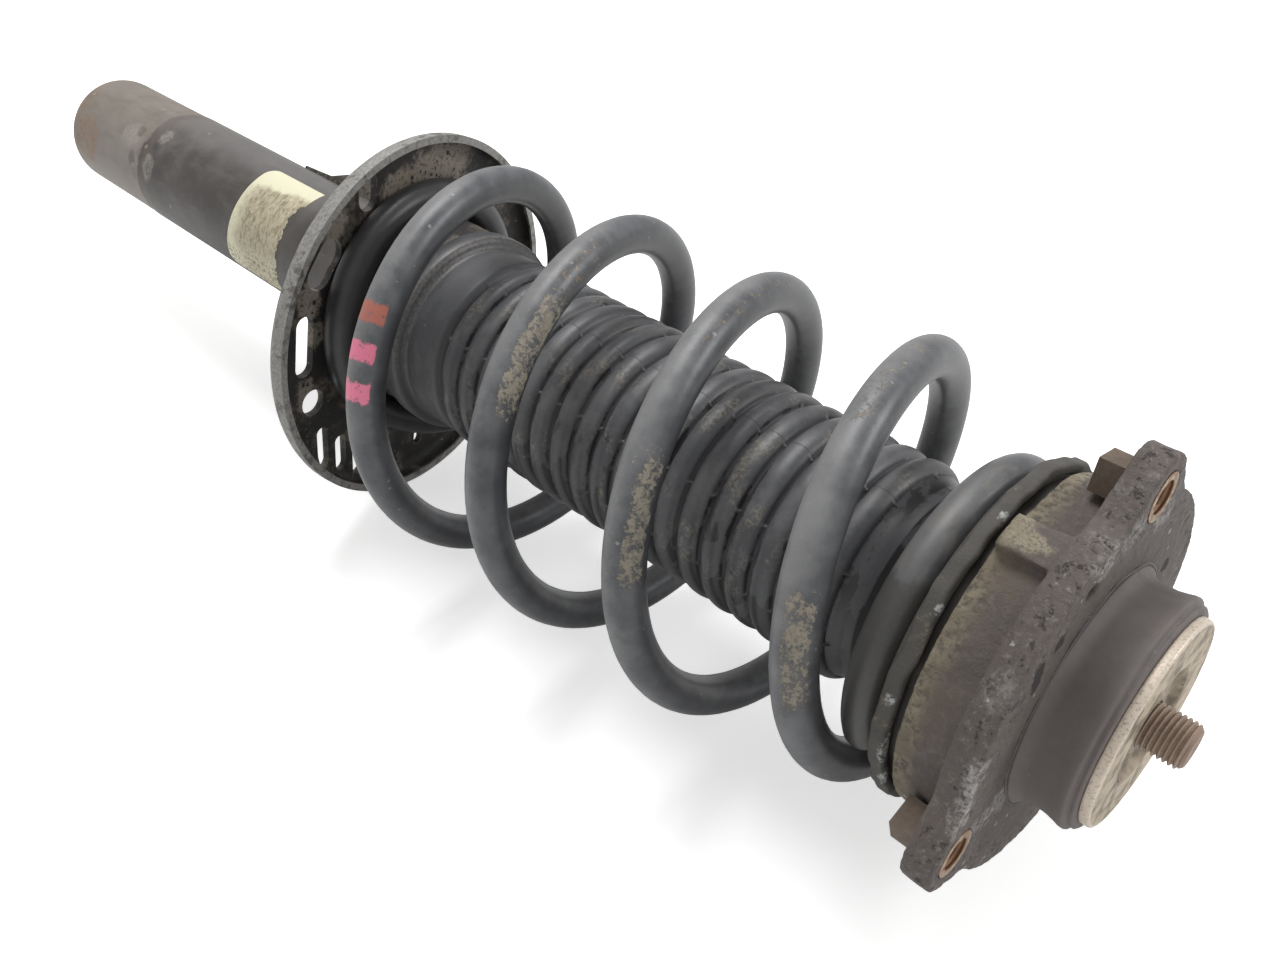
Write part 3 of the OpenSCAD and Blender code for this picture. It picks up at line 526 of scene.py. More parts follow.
def cast_aluminium(skirt_edge):
    """Weathered purple-brown casting with beige dirt at the back, white oxide and dark pits."""
    f = Finish("cast_aluminium", specular=0.35)
    fine = f.noise(0.8, 6, 0.7)
    grain = f.noise(2.2, 6, 0.7, 4)
    blotch = f.noise(12, 5, 0.62, 2)
    f.colour = f.blend(blotch, (0.092, 0.077, 0.07), (0.155, 0.132, 0.121))
    f.coat(f.step(grain, 0.5, 0.75), (0.215, 0.19, 0.175), 0.5)

    skirt_x = skirt_edge * MM
    back = f.step(f.plus(f.x, f.centred(blotch), 0.01), skirt_x + 0.0085, skirt_x + 0.0005)
    beige = f.both(back, f.step(f.plus(grain, blotch, 0.4), 0.52, 0.72))
    f.coat(beige, f.blend(fine, (0.2, 0.17, 0.115), (0.37, 0.325, 0.235)), 0.9)
    brown = f.both(f.step(f.x, skirt_x + 0.017, skirt_x + 0.008), f.step(blotch, 0.4, 0.6))
    f.coat(brown, (0.145, 0.115, 0.082), 0.5)
    lug_dirt = f.both(f.spots(MOUNT_DIRT, 0.45, 3.0, 3), f.step(fine, 0.33, 0.55))
    f.coat(lug_dirt, f.blend(fine, (0.22, 0.19, 0.135), (0.38, 0.335, 0.25)), 0.9)
    areas = f.spots(MOUNT_OXIDE, 0.5, 5.0)
    scattered = f.times(f.patches(0.6, 0.78, 18, 5, 0.65, 14), 0.45)
    oxide = f.both(f.either(areas, scattered), f.patches(0.4, 0.62, 2.6, 6, 0.78, 6))
    f.coat(oxide, f.blend(fine, (0.3, 0.285, 0.27), (0.6, 0.58, 0.555)), 0.85)
    f.coat(f.specks(7, 0.11, 5), (0.5, 0.47, 0.43), 0.7)
    rim = f.both(f.step(f.radius(), 0.0465, 0.052), f.step(f.x, 0.5565, 0.56))
    eaten = f.both(rim, f.patches(0.56, 0.66, 3.2, 6, 0.75, 23))
    f.coat(eaten, (0.04, 0.034, 0.032), 0.7)
    flaked = f.both(rim, f.patches(0.53, 0.68, 1.8, 6, 0.8, 27))
    f.coat(flaked, f.blend(fine, (0.26, 0.235, 0.215), (0.5, 0.475, 0.45)), 0.5)
    small_pits = f.both(f.patches(0.68, 0.76, 3, 4, 0.6, 17), f.step(blotch, 0.5, 0.7))
    pits = f.either(f.spots(MOUNT_PITS, 0.5, 3.0, 20), small_pits)
    f.coat(pits, (0.022, 0.019, 0.018), 0.85)
    roughness = f.plus(f.level(oxide, 0.58, 0.75), fine, 0.2)
    height = f.total((fine, 0.7), (grain, 1.1), (pits, -1.6), (beige, 0.4), (eaten, -0.8))
    return f.finish(roughness, height, 0.5)


def tower_rubber():
    """Brown-grey matte rubber of the mount's tower."""
    f = Finish("tower_rubber", specular=0.35, sheen=0.05)
    fine = f.noise(0.8, 5, 0.65)
    blotch = f.noise(13, 5, 0.6, 4)
    f.colour = f.blend(blotch, (0.122, 0.105, 0.098), (0.168, 0.147, 0.14))
    dust = f.both(f.facing((0.3, -0.2, 1)), f.step(blotch, 0.3, 0.7))
    f.coat(dust, (0.195, 0.172, 0.165), 0.45)
    f.coat(f.specks(6, 0.1, 2), (0.26, 0.24, 0.22), 0.45)
    dark = f.patches(0.6, 0.75, 18, 4, 0.6, 8, stretch=(3, 1, 1))
    f.coat(dark, (0.06, 0.052, 0.049), 0.45)
    return f.finish(f.plus(0.55, fine, 0.2), f.total((fine, 0.6), (blotch, 0.4)), 0.14)


def plate_steel(rim_r):
    """Tan-stained steel plate with a bright worn rim and painted shade in its dish."""
    f = Finish("plate_steel", metallic=0.25, specular=0.45)
    fine = f.noise(0.8, 5, 0.65)
    blotch = f.noise(8, 5, 0.62, 5)
    radius = f.radius()
    f.colour = f.blend(f.step(blotch, 0.35, 0.62), (0.185, 0.148, 0.108), (0.52, 0.435, 0.325))
    f.coat(f.step(fine, 0.55, 0.75), (0.46, 0.415, 0.355), 0.5)
    f.coat(f.step(blotch, 0.58, 0.72), (0.14, 0.108, 0.082), 0.55)
    # Painted shade: the plate is darker inside its recessed dish.
    dish = f.step(radius, 0.0185, 0.0165)
    f.coat(dish, (0.17, 0.142, 0.118), 0.35)
    rim = f.both(f.step(radius, rim_r * MM - 0.0016, rim_r * MM - 0.0006), f.step(fine, 0.3, 0.5))
    f.coat(rim, (0.74, 0.64, 0.535), 0.85)
    f.coat(f.specks(3.5, 0.12, 3), (0.07, 0.052, 0.04), 0.6)
    roughness = f.plus(f.level(rim, 0.5, 0.34), fine, 0.2)
    return f.finish(roughness, f.total((fine, 0.5), (blotch, 0.6)), 0.12)


def rusty_rod(stud_from, stud_to):
    """Polished rod whose threaded end is brown with rust."""
    f = Finish("rod_chrome", metallic=0.85, specular=0.5)
    fine = f.noise(0.5, 4, 0.6)
    grain = f.noise(2.2, 5, 0.7, 3)
    chrome = f.blend(f.noise(3, 3, stretch=(0.2, 1, 1)), (0.5, 0.5, 0.51), (0.6, 0.6, 0.61))
    rust = f.blend(grain, (0.24, 0.165, 0.12), (0.47, 0.365, 0.29))
    rust = f.blend(f.step(fine, 0.5, 0.75), rust, (0.5, 0.42, 0.35), 0.6)
    tip = f.step(f.x, (stud_to - 1.8) * MM, (stud_to - 0.6) * MM)
    rust = f.blend(tip, rust, (0.22, 0.135, 0.1), 0.5)
    threaded = f.step(f.x, stud_from * MM, (stud_from + 1) * MM)
    f.colour = f.blend(threaded, chrome, rust)
    roughness = f.level(threaded, 0.16, 0.62)
    f.feed(f.shader.inputs["Metallic"], f.level(threaded, 1.0, 0.25))
    return f.finish(roughness, f.both(f.plus(fine, grain, 0.8), threaded), 0.1)


def insert_steel():
    """Orange-brown rust with bright worn faces and thread lines in the bore."""
    f = Finish("insert_steel", metallic=0.3, specular=0.4)
    fine = f.noise(0.6, 5, 0.65)
    grain = f.noise(2, 5, 0.7, 2)
    f.colour = f.blend(grain, (0.2, 0.095, 0.048), (0.56, 0.36, 0.235))
    face = f.both(f.step(f.facing((1, 0, 0)), 0.7, 0.9), f.step(grain, 0.34, 0.56))
    f.coat(face, f.blend(fine, (0.34, 0.27, 0.19), (0.58, 0.53, 0.43)), 0.8)
    hidden_tail = f.step(f.x, 0.5572, 0.5565)
    f.coat(hidden_tail, f.blend(grain, (0.07, 0.061, 0.052), (0.175, 0.15, 0.122)), 0.85)
    thread_pitch = 1.5 * MM
    thread = f.math("SINE", f.times(f.x, 2 * math.pi / thread_pitch))
    thread = f.without(f.times(f.math("ADD", thread, 1.0), 0.5), f.either(face, hidden_tail))
    return f.finish(f.plus(0.55, fine, 0.2), f.plus(thread, fine, 0.3), 0.45)


def label_film():
    """A bare cream film: clean along its top strip and left edge, and scraped and grimed with brown below."""
    f = Finish("label_film", specular=0.4)
    fine = f.noise(0.9, 5, 0.7)
    blotch = f.noise(7, 6, 0.68, 4)
    scratch = f.noise(2.6, 6, 0.75, 7, stretch=(0.7, 1.5, 1.5))
    cream = f.blend(fine, (0.66, 0.63, 0.45), (0.78, 0.75, 0.56))
    ragged = f.centred(blotch)
    middle_x, lean = 0.178, 260
    down = f.plus(f.plus(f.angle(), f.math("SUBTRACT", f.x, middle_x), lean), ragged, 16)
    below_strip = f.step(down, 19, 26)
    grime = f.both(below_strip, f.step(f.plus(f.x, ragged, 0.01), 0.1615, 0.172))
    stain = f.blend(f.step(scratch, 0.38, 0.6), (0.155, 0.12, 0.075), (0.47, 0.405, 0.28))
    f.colour = f.blend(grime, cream, stain, f.plus(0.62, blotch, 0.4))
    margin = f.both(below_strip, f.step(scratch, 0.5, 0.6))
    f.coat(margin, (0.42, 0.375, 0.26), 0.35)
    scraped = f.both(f.patches(0.56, 0.64, 1.8, 6, 0.75, 17, stretch=(1, 1, 1.6)), grime)
    f.coat(scraped, (0.66, 0.62, 0.45), 0.7)
    rubbed = f.both(f.step(down, 76, 90), f.step(scratch, 0.62, 0.45))
    f.coat(rubbed, cream, 0.6)
    low = f.both(f.step(down, 78, 96), f.patches(0.5, 0.58, 1.6, 6, 0.75, 10))
    f.coat(low, (0.09, 0.078, 0.058), 0.75)
    return f.finish(f.plus(0.45, fine, 0.25), f.total((fine, 0.4), (grime, 0.5)), 0.06)


def machined_steel(name, colour_low, colour_high, roughness):
    """Turned steel with fine rings round the strut and light stains."""
    f = Finish(name, metallic=0.9)
    rings = f.noise(0.5, 2, stretch=(0.3, 40, 40))
    stain = f.noise(9, 5, 0.6, 3)
    f.colour = f.blend(rings, colour_low, colour_high)
    f.coat(f.step(stain, 0.55, 0.75), (0.2, 0.16, 0.12), 0.5)
    return f.finish(f.plus(roughness, stain, 0.2), rings, 0.03)


def bump_foam():
    """Cream cellular foam."""
    f = Finish("bump_foam", specular=0.3, sheen=0.1)
    pores = f.texture("ShaderNodeTexVoronoi", 0.9, 0).outputs["Distance"]
    tone = f.noise(8, 4)
    f.colour = f.blend(tone, (0.44, 0.35, 0.18), (0.6, 0.5, 0.29))
    return f.finish(0.85, pores, 0.25)


def moulded_plastic():
    """Tan moulded nylon."""
    f = Finish("cage_plastic", specular=0.45)
    tone = f.noise(6, 4)
    fine = f.noise(0.5, 3)
    f.colour = f.blend(tone, (0.33, 0.28, 0.18), (0.43, 0.37, 0.24))
    return f.finish(f.plus(0.42, tone, 0.15), fine, 0.02)


# ---------------------------------------------------------------- the strut's pieces

class Seat:
    """The tilted lower spring seat, as in the part's source."""
    x = 268.7
    tilt = math.radians(11.3)
    turn = math.radians(-103.4)
    drop = 7.2
    depth = 7.0
    tilt_y = -math.sin(turn)
    tilt_z = math.cos(turn)
    square = Vector((math.cos(tilt), tilt_y * math.sin(tilt), tilt_z * math.sin(tilt)))
    downhill = Vector((-math.sin(tilt), tilt_y * math.cos(tilt), tilt_z * math.cos(tilt)))
    level = Vector((0, -tilt_z, tilt_y))
    centre = Vector((x, 0, 0)) - drop * level

    @classmethod
    def flat_x(cls, y, z):
        """Where the seat's flat lies at (y, z)."""
        downhill = y * cls.tilt_y + z * cls.tilt_z
        return cls.x - (cls.depth + downhill * math.sin(cls.tilt)) / math.cos(cls.tilt)


class Coil:
    """The coil spring's centre line, in turns t, as in the part's source."""
    wire_r = 6.7
    turn_lag = -6.2
    low_tip = -0.35
    low_free = 0.25
    first_open = 1.0
    last_open = 4.2
    flat = 4.75
    top_tip = 5.33
    low_r = 46.5
    high_r = 44.6
    open_x = Seat.x + 43.9
    pitch = 60.95
    top_x = 526.0
    climb_from = Seat.x + 8.9
    gap = 0.05
    opens_at, opens_over = 0.4, 0.7
    closes_at, closes_over = last_open - 0.1, 0.6
    lifts_over = 0.3
    # each at the first open coil, its bow between the ends, and at the last open coil
    open_r = (66.85, 1.1, 64.55)
    shift_y = (-7.9, 2.2, -0.9)
    shift_z = (1.7, -4.3, 2.4)
    slope_y = (-0.096, 0.0, -0.064)
    slope_z = (0.074, 0.0, -0.044)

    @classmethod
    def along(cls, t, measure):
        """A measure at turn t, between its values at the two open ends."""
        low, bow, high = measure
        share = clamp01((t - cls.first_open) / (cls.last_open - cls.first_open))
        return mix(low, high, share) + 4 * bow * share * (1 - share)

    @classmethod
    def opened(cls, t):
        """0 on the seated coil below, 1 from the first open coil on."""
        return smooth((t - cls.opens_at) / cls.opens_over)

    @classmethod
    def closed(cls, t):
        """0 up to the last open coil, 1 on the flat coil above."""
        return smooth((t - cls.closes_at) / cls.closes_over)

    @classmethod
    def radius(cls, t):
        open_r = cls.along(t, cls.open_r)
        if t < cls.first_open + 1:
            return mix(cls.low_r, open_r, cls.opened(t))
        return mix(open_r, cls.high_r, cls.closed(t))

    @classmethod
    def height(cls, t, y, z):
        """Where the centre line lies along the strut: flat on the seat, then even open coils, then flat."""
        on_flat = Seat.flat_x(y, z) + (cls.wire_r + cls.gap) / math.cos(Seat.tilt)
        if t < cls.low_free:
            return on_flat
        if t < cls.first_open:
            span = cls.first_open - cls.low_free
            rise = (t - cls.low_free) / span
            climb = mix(cls.climb_from, cls.open_x, smooth(rise)) + cls.pitch * span * (rise ** 3 - rise ** 2)
            return mix(on_flat, climb, smooth((t - cls.low_free) / cls.lifts_over))
        if t < cls.last_open:
            return cls.open_x + cls.pitch * (t - cls.first_open)
        if t < cls.flat:
            span = cls.flat - cls.last_open
            last = (t - cls.last_open) / span
            last_x = cls.open_x + cls.pitch * (cls.last_open - cls.first_open)
            ease = last ** 3 - 2 * last ** 2 + last
            return mix(last_x, cls.top_x, smooth(last)) + cls.pitch * span * ease
        return cls.top_x

    @classmethod
    def centre(cls, t):
        lean = cls.opened(t) - cls.closed(t)
        a = math.radians(360 * t + cls.turn_lag)
        out_y = -cls.radius(t) * math.sin(a)
        out_z = cls.radius(t) * math.cos(a)
        y = cls.along(t, cls.shift_y) * lean + out_y
        z = cls.along(t, cls.shift_z) * lean + out_z
        slope = cls.along(t, cls.slope_y) * out_y + cls.along(t, cls.slope_z) * out_z
        return Vector((cls.height(t, y, z) + lean * slope, y, z))

    @classmethod
    def section(cls, t):
        """The directions out and up across the wire at turn t."""
        near = 0.004
        forward = (cls.centre(t + near) - cls.centre(t - near)).normalized()
        a = math.radians(360 * t + cls.turn_lag)
        out = Vector((0, -math.sin(a), math.cos(a)))
        across = (out - out.dot(forward) * forward).normalized()
        return across, forward.cross(across)


def coil_spring(material):
    """The wire swept along its centre line, with rounded cut ends; each point knows its turn."""
    sides, rings_per_turn, end_round, end_turn = 28, 96, 0.8, 0.003
    rings = round((Coil.top_tip - Coil.low_tip) * rings_per_turn)
    stations = [(mix(Coil.low_tip, Coil.top_tip, i / rings), Coil.wire_r) for i in range(1, rings)]
    stations.insert(0, (Coil.low_tip + end_turn, Coil.wire_r))
    stations.insert(0, (Coil.low_tip, Coil.wire_r - end_round))
    stations.append((Coil.top_tip - end_turn, Coil.wire_r))
    stations.append((Coil.top_tip, Coil.wire_r - end_round))
    points, turns, outs, ups = [], [], [], []
    for t, r in stations:
        centre = Coil.centre(t)
        across, up = Coil.section(t)
        for k in range(sides):
            b = 2 * math.pi * k / sides
            points.append(centre + r * (math.cos(b) * across + math.sin(b) * up))
            turns.append(t)
            outs.append(math.cos(b))
            ups.append(math.sin(b))
    faces = []
    for i in range(len(stations) - 1):
        for k in range(sides):
            a, b = i * sides + k, i * sides + (k + 1) % sides
            faces.append((a, a + sides, b + sides, b))
    last = (len(stations) - 1) * sides
    faces.append(tuple(range(sides)))
    faces.append(tuple(last + sides - 1 - k for k in range(sides)))
    piece = mesh_piece("spring_wire", (points, faces), "strut", material)
    mark_points(piece, "turn", turns)
    mark_points(piece, "out", outs)
    mark_points(piece, "up", ups)
    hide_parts("coil_spring")
    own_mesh(piece)


class Boot:
    """The dust boot's measures."""
    foot_x = 302.0
    boss_r = 39.2
    cup_r = 36.5
    ribs_x = 326.0
    ribs_end = 514.95
    rib_count = 19
    crest_r = 37.5
    root_r = 32.9
    wall = 1.4
    collar_end = 532.55
    neck_r = 35.1
    nub_angles = [14.3 + 40.6 * i for i in range(9)]


def rib_shape(share):
    """Height of a fold from 0 in the groove to 1 on the crest, for a share of its pitch."""
    side = abs(2 * share - 1)
    roundness = 2.3
    return math.sqrt(max(0.0, 1 - side ** roundness))


def dust_boot(material):
    """The ribbed boot, each fold a little different, with mould nubs across its grooves."""
    pitch = (Boot.ribs_end - Boot.ribs_x) / Boot.rib_count
    steps = 14
    foot_x, ribs_x, wall = Boot.foot_x, Boot.ribs_x, Boot.wall
    boss_r, cup_r, root_r = Boot.boss_r, Boot.cup_r, Boot.root_r
    outer = offsets(foot_x, boss_r, (-6, 0.05), (-6.2, 0.8), (-5.4, wall), (0.5, wall), (1.6, wall - 0.4))
    outer += offsets(foot_x, boss_r, (2.3, -0.9))
    outer += offsets(foot_x, cup_r, (2.8, 0.3), (3.6, -0.2), (5.0, -0.15), (7.0, 0.15))
    outer += [(x, cup_r + 0.1) for x in np.linspace(foot_x + 10, ribs_x - 5, 4)]
    outer += offsets(ribs_x, cup_r, (-3.4, -0.1), (-2.2, -0.7), (-1.2, -1.9))
    crests = [0.0] * len(outer)
    shown_ribs = Boot.rib_count - 1
    for i in range(shown_ribs):
        for k in range(steps):
            share = k / steps
            outer.append((ribs_x + (i + share) * pitch, mix(root_r, Boot.crest_r, rib_shape(share))))
            crests.append(rib_shape(share))
    # in place of the last fold there is a wide groove before the collar
    groove_end = Boot.ribs_end - 1.2
    tail = offsets(Boot.ribs_end - pitch, root_r, (0, 0), (2, 0.3))
    tail += offsets(groove_end, root_r, (-2, 0.3), (0, 0.1))
    outer += tail
    crests += [0.0] * len(tail)
    inner = [(groove_end, root_r - wall)]
    for i in range(shown_ribs - 1, -1, -1):
        for share in (0.75, 0.5, 0.25, 0.0):
            inner.append((ribs_x + (i + share) * pitch, mix(root_r, Boot.crest_r, rib_shape(share)) - wall))
    inner += [(ribs_x - 2, cup_r - wall), (foot_x + 4, cup_r - wall)]
    inner += offsets(foot_x, boss_r, (0.3, -6), (0.05, 0.05))
    crests += [0.0] * len(inner)

    angles = set(even_angles(168))
    for nub in Boot.nub_angles:
        angles |= {round(nub + d, 3) % 360 for d in (-1.8, -1.2, -0.6, 0.0, 0.6, 1.2, 1.8)}

    def reshape(x, r, angle):
        if ribs_x - 0.1 < x < Boot.ribs_end - pitch + 0.1 and r > root_r - 0.01:
            place = (x - ribs_x) / pitch
            groove = abs(place - math.floor(place + 0.5))
            nub = min(abs((angle - n + 180) % 360 - 180) for n in Boot.nub_angles)
            nub_width = 1.9
            web = smooth((nub_width - nub) / nub_width) * smooth((0.20 - groove) / 0.12)
            r = mix(r, max(r, Boot.crest_r - 2.0), web)
            rib = math.floor(place)
            fold = Boot.crest_r - root_r
            r += wave(angle, (1, rib * 77, 0.14), (2, rib * 131, 0.10)) * (r - root_r) / fold
            x += wave(angle, (1, rib * 53, 0.12), (3, rib * 97, 0.07)) * (r - root_r) / fold
        return x, r

    shape = turned(outer + inner, sorted(angles), reshape)
    piece = mesh_piece("boot_folds", shape, "strut", material)
    mark_points(piece, "crest", crests * len(angles))
    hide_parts("dust_boot")
    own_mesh(piece)


def boot_collar(material):
    """The boot's plain collar: it keeps its length and travels with the upper seat's neck, which it grips."""
    start, end, root_r, cup_r, neck_r = Boot.ribs_end, Boot.collar_end, Boot.root_r, Boot.cup_r, Boot.neck_r
    lap_x = start - 2.4
    inner_r = root_r - Boot.wall
    profile = [(lap_x, root_r + 0.35)] + offsets(start, root_r, (-0.4, 0.6), (0.6, 2.0))
    profile += offsets(start, cup_r, (1.4, -0.5), (2.6, 0))
    profile += [(x, cup_r) for x in np.linspace(start + 5, end - 0.6, 4)]
    profile += [(end, cup_r - 0.5), (end, neck_r), (start + 2, neck_r), (start, inner_r), (lap_x, inner_r)]
    shape = turned(profile, even_angles(144))
    piece = mesh_piece("boot_collar", shape, "spring_top", material)
    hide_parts("dust_boot")


def label(material):
    """The thin film on the tube: rounded corners on its left, and a torn edge towards the seat."""
    low_x, high_x, sweep, corner = 157.0, 201.0, 117.0, 6.0
    torn_from, torn_over, torn_off = 22.0, 2.5, 2.6
    skin_r, film = 27.86, 0.2
    left_bow, left_skew, right_bow, right_skew = 4.0, 10.0, 1.6, 3.4
    rows, columns = 150, 30
    points, faces = [], []
    for i in range(rows + 1):
        share = i / rows
        angle = sweep * share
        end = min(angle, sweep - angle) * math.pi / 180 * skin_r
        inset = corner - math.sqrt(corner ** 2 - (corner - min(end, corner)) ** 2)
        arch = math.sin(math.pi * share)
        torn = smooth((angle - torn_from) / torn_over)
        tear = torn_off + wave(angle, (11, 30, 0.6), (29, 80, 0.45), (67, 0, 0.3), (131, 50, 0.2))
        left = low_x + left_bow * arch + left_skew * (0.5 - share) + inset
        right = high_x + right_bow * arch + right_skew * (0.5 - share) - torn * tear
        for j in range(columns + 1):
            edge = i in (0, rows) or j in (0, columns)
            points.append(around(mix(left, right, j / columns), skin_r + (0 if edge else film), angle))
    for i in range(rows):
        for j in range(columns):
            a = i * (columns + 1) + j
            faces.append((a, a + 1, a + columns + 2, a + columns + 1))
    piece = mesh_piece("label_on_tube", (points, faces), "strut", material)
    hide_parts("label")


def bump_stop(material):
    """Waisted foam stop on the rod, under the top mount."""
    end_x, length, bore_r, waists = 544.0, 58.0, 11.1, 4
    pitch = length / waists
    start_x, first_crest, waist_depth = end_x - length, 19.0, 4.0
    profile = [(start_x, bore_r)]
    for i in range(waists):
        for share in np.linspace(0.02, 0.98, 9):
            rise = waist_depth * (math.sin(math.pi * share) ** 0.6 - 1)
            profile.append((start_x + (i + share) * pitch, first_crest + i + rise))
    profile += [(end_x - 0.05, 18.0), (end_x - 0.05, bore_r)]
    piece = mesh_piece("bump_foam_stop", turned(profile, even_angles(64)), "top_mount", material)
    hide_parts("bump_stop")
    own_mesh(piece)


def spring_pad(material):
    """Rubber pad between the last coil and the upper seat; its lip is thin, wavy and rubbed."""
    pad_x, plate_x, lip_x = 532.75, 535.55, 539.05
    inner_r, plate_r, lip_r = 37.1, 51.05, 55.0
    profile = [(pad_x, inner_r)] + [(pad_x, r) for r in np.linspace(inner_r + 3, plate_r, 6)]
    profile += [(pad_x + 0.5, plate_r + 1.2), (pad_x + 1.3, lip_r - 1.6)]
    round_r = 1.1
    profile += fillet(plate_x - 0.3, lip_r - round_r, round_r, 200, 90, 5)
    profile += fillet(lip_x - round_r, lip_r - round_r, round_r, 90, 0, 5)
    profile += [(lip_x, lip_r - 2.4), (lip_x - 0.4, plate_r + 0.6), (lip_x - 0.8, plate_r)]
    profile += [(plate_x, plate_r), (plate_x, inner_r)]

    def reshape(x, r, angle):
        lip = smooth((r - plate_r - 0.3) / 2.5)
        x += lip * wave(angle, (7, 20, 0.30), (13, 80, 0.26), (23, 140, 0.20), (41, 10, 0.10))
        r += lip * wave(angle, (9, 50, 0.20), (17, 10, 0.22), (31, 200, 0.16))
        return x, r

    shape = turned(profile, even_angles(360), reshape)
    piece = mesh_piece("pad_with_lip", shape, "spring_top", material)
    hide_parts("spring_pad")


class Mount:
    """The top mount's measures."""
    skirt_x = 541.05
    upper_end_x = 547.05
    flange_top = 566.05
    tower_top = 583.55
    plate_top = 586.55
    rust_from = 582.0
    stud_end = 597.55
    tower_r = 36.0
    sleeve_r = 13.02
    cavity_r = 17.5
    stud_r = 7.0
    plate_r = 32.0


def mount_rubber(material):
    """The rubber tower: a flared foot on the flange, a waist, and a grooved rim under the stop plate."""
    m = Mount
    r = m.tower_r
    foot = [(m.upper_end_x, r - 0.05)] + offsets(m.flange_top, r, (-0.3, -0.05), (0.05, 2.6), (0.5, 1.7))
    foot += fillet(m.flange_top + 4.6, r + 3.4, 4.5, 200, 268, 6)
    side = offsets(m.flange_top, r, (6.5, -1.15), (9.5, -1.0), (12.2, -0.45))
    side += offsets(m.tower_top, r, (-3.9, -0.05))
    rim = fillet(m.tower_top - 2.9, r - 0.9, 0.9, 100, 30, 4)
    rim += offsets(m.tower_top, r, (-1.7, -1.2), (-1.4, -1.75), (-1.0, -1.7), (-0.6, -1.5))
    rim += offsets(m.tower_top, r, (-0.1, -2.1), (0, -3.0))
    inside = [(m.tower_top, m.cavity_r), (m.flange_top, m.cavity_r), (m.flange_top, m.sleeve_r),
              (m.upper_end_x, m.sleeve_r)]

    def reshape(x, r, angle):
        on_foot = smooth((r - m.tower_r - 0.6) / 2.0)
        r += on_foot * wave(angle, (5, 40, 0.35), (11, 100, 0.25))
        return x, r

    shape = turned(foot + side + rim + inside, even_angles(144), reshape)
    piece = mesh_piece("rubber_tower", shape, "top_mount", material)
    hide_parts("mount_rubber")


def rod_with_thread(material):
    """The piston rod with a real helical thread on the stud above the stop plate."""
    m = Mount
    rod_r, foot_r = 11.0, 6.0
    piston_top, rod_foot = 349.0, 319.0
    pitch, depth, crest, chamfer, slope = 1.5, 0.85, 0.12, 1.4, 1.1
    shoulder = 544.05
    steps = [(rod_foot, 0.01), (rod_foot, foot_r - 1), (rod_foot + 1, foot_r), (piston_top, foot_r),
             (piston_top + 0.01, rod_r), (shoulder, rod_r), (shoulder + 0.01, m.stud_r)]
    thread_from = m.plate_top - 3.0
    steps += [(thread_from - 0.2, m.stud_r)]
    row = 0.125
    rows = round((m.stud_end - thread_from) / row)
    steps += [(mix(thread_from, m.stud_end, i / rows), m.stud_r) for i in range(rows + 1)]
    steps += [(m.stud_end, 0.01)]

    def reshape(x, r, angle):
        if x < thread_from or r < 1:
            return x, r
        phase = (x / pitch + angle / 360) % 1
        groove = abs(2 * phase - 1)
        cut = depth * smooth((groove - crest) / (1 - crest))
        past_chamfer = max(0.0, x - (m.stud_end - chamfer))
        return x, min(r - cut, m.stud_r - past_chamfer * slope)

    shape = turned(steps, even_angles(72), reshape)
    piece = mesh_piece("rod_and_stud", shape, "top_mount", material)
    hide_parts("piston_rod")


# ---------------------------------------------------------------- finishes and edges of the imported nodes

def dress(node, material, edge=0.0):
    """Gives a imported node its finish, and rounds its sharp edges by edge millimetres."""
    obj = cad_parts[node]
    obj.data.materials.clear()
    obj.data.materials.append(material)
    if edge:
        set_up(obj.modifiers.new("weld", "WELD"), merge_threshold=1e-6)
        set_up(obj.modifiers.new("rounded_edges", "BEVEL"), width=edge * MM, segments=2,
               limit_method="ANGLE", angle_limit=math.radians(34))
        set_up(obj.modifiers.new("even_shading", "WEIGHTED_NORMAL"), weight=80, keep_sharp=False)
    return obj


def roughen_casting(obj):
    """Remeshes the casting finely and gives it the lumps and soft edges of a corroded casting."""
    voxel = 0.75 * MM
    set_up(obj.modifiers.new("fine_mesh", "REMESH"), mode="VOXEL", voxel_size=voxel, use_smooth_shade=True)
    set_up(obj.modifiers.new("soft_edges", "SMOOTH"), factor=0.5, iterations=3)
    for name, size, strength in (("lumps", 5.0, 0.55), ("grains", 1.8, 0.30)):
        clouds = set_up(bpy.data.textures.new(name, "CLOUDS"), noise_scale=size * MM, noise_depth=3)
        set_up(obj.modifiers.new(name, "DISPLACE"), texture=clouds, texture_coords="LOCAL",
               mid_level=0.5, strength=strength * MM)


# ---------------------------------------------------------------- camera, floor and light

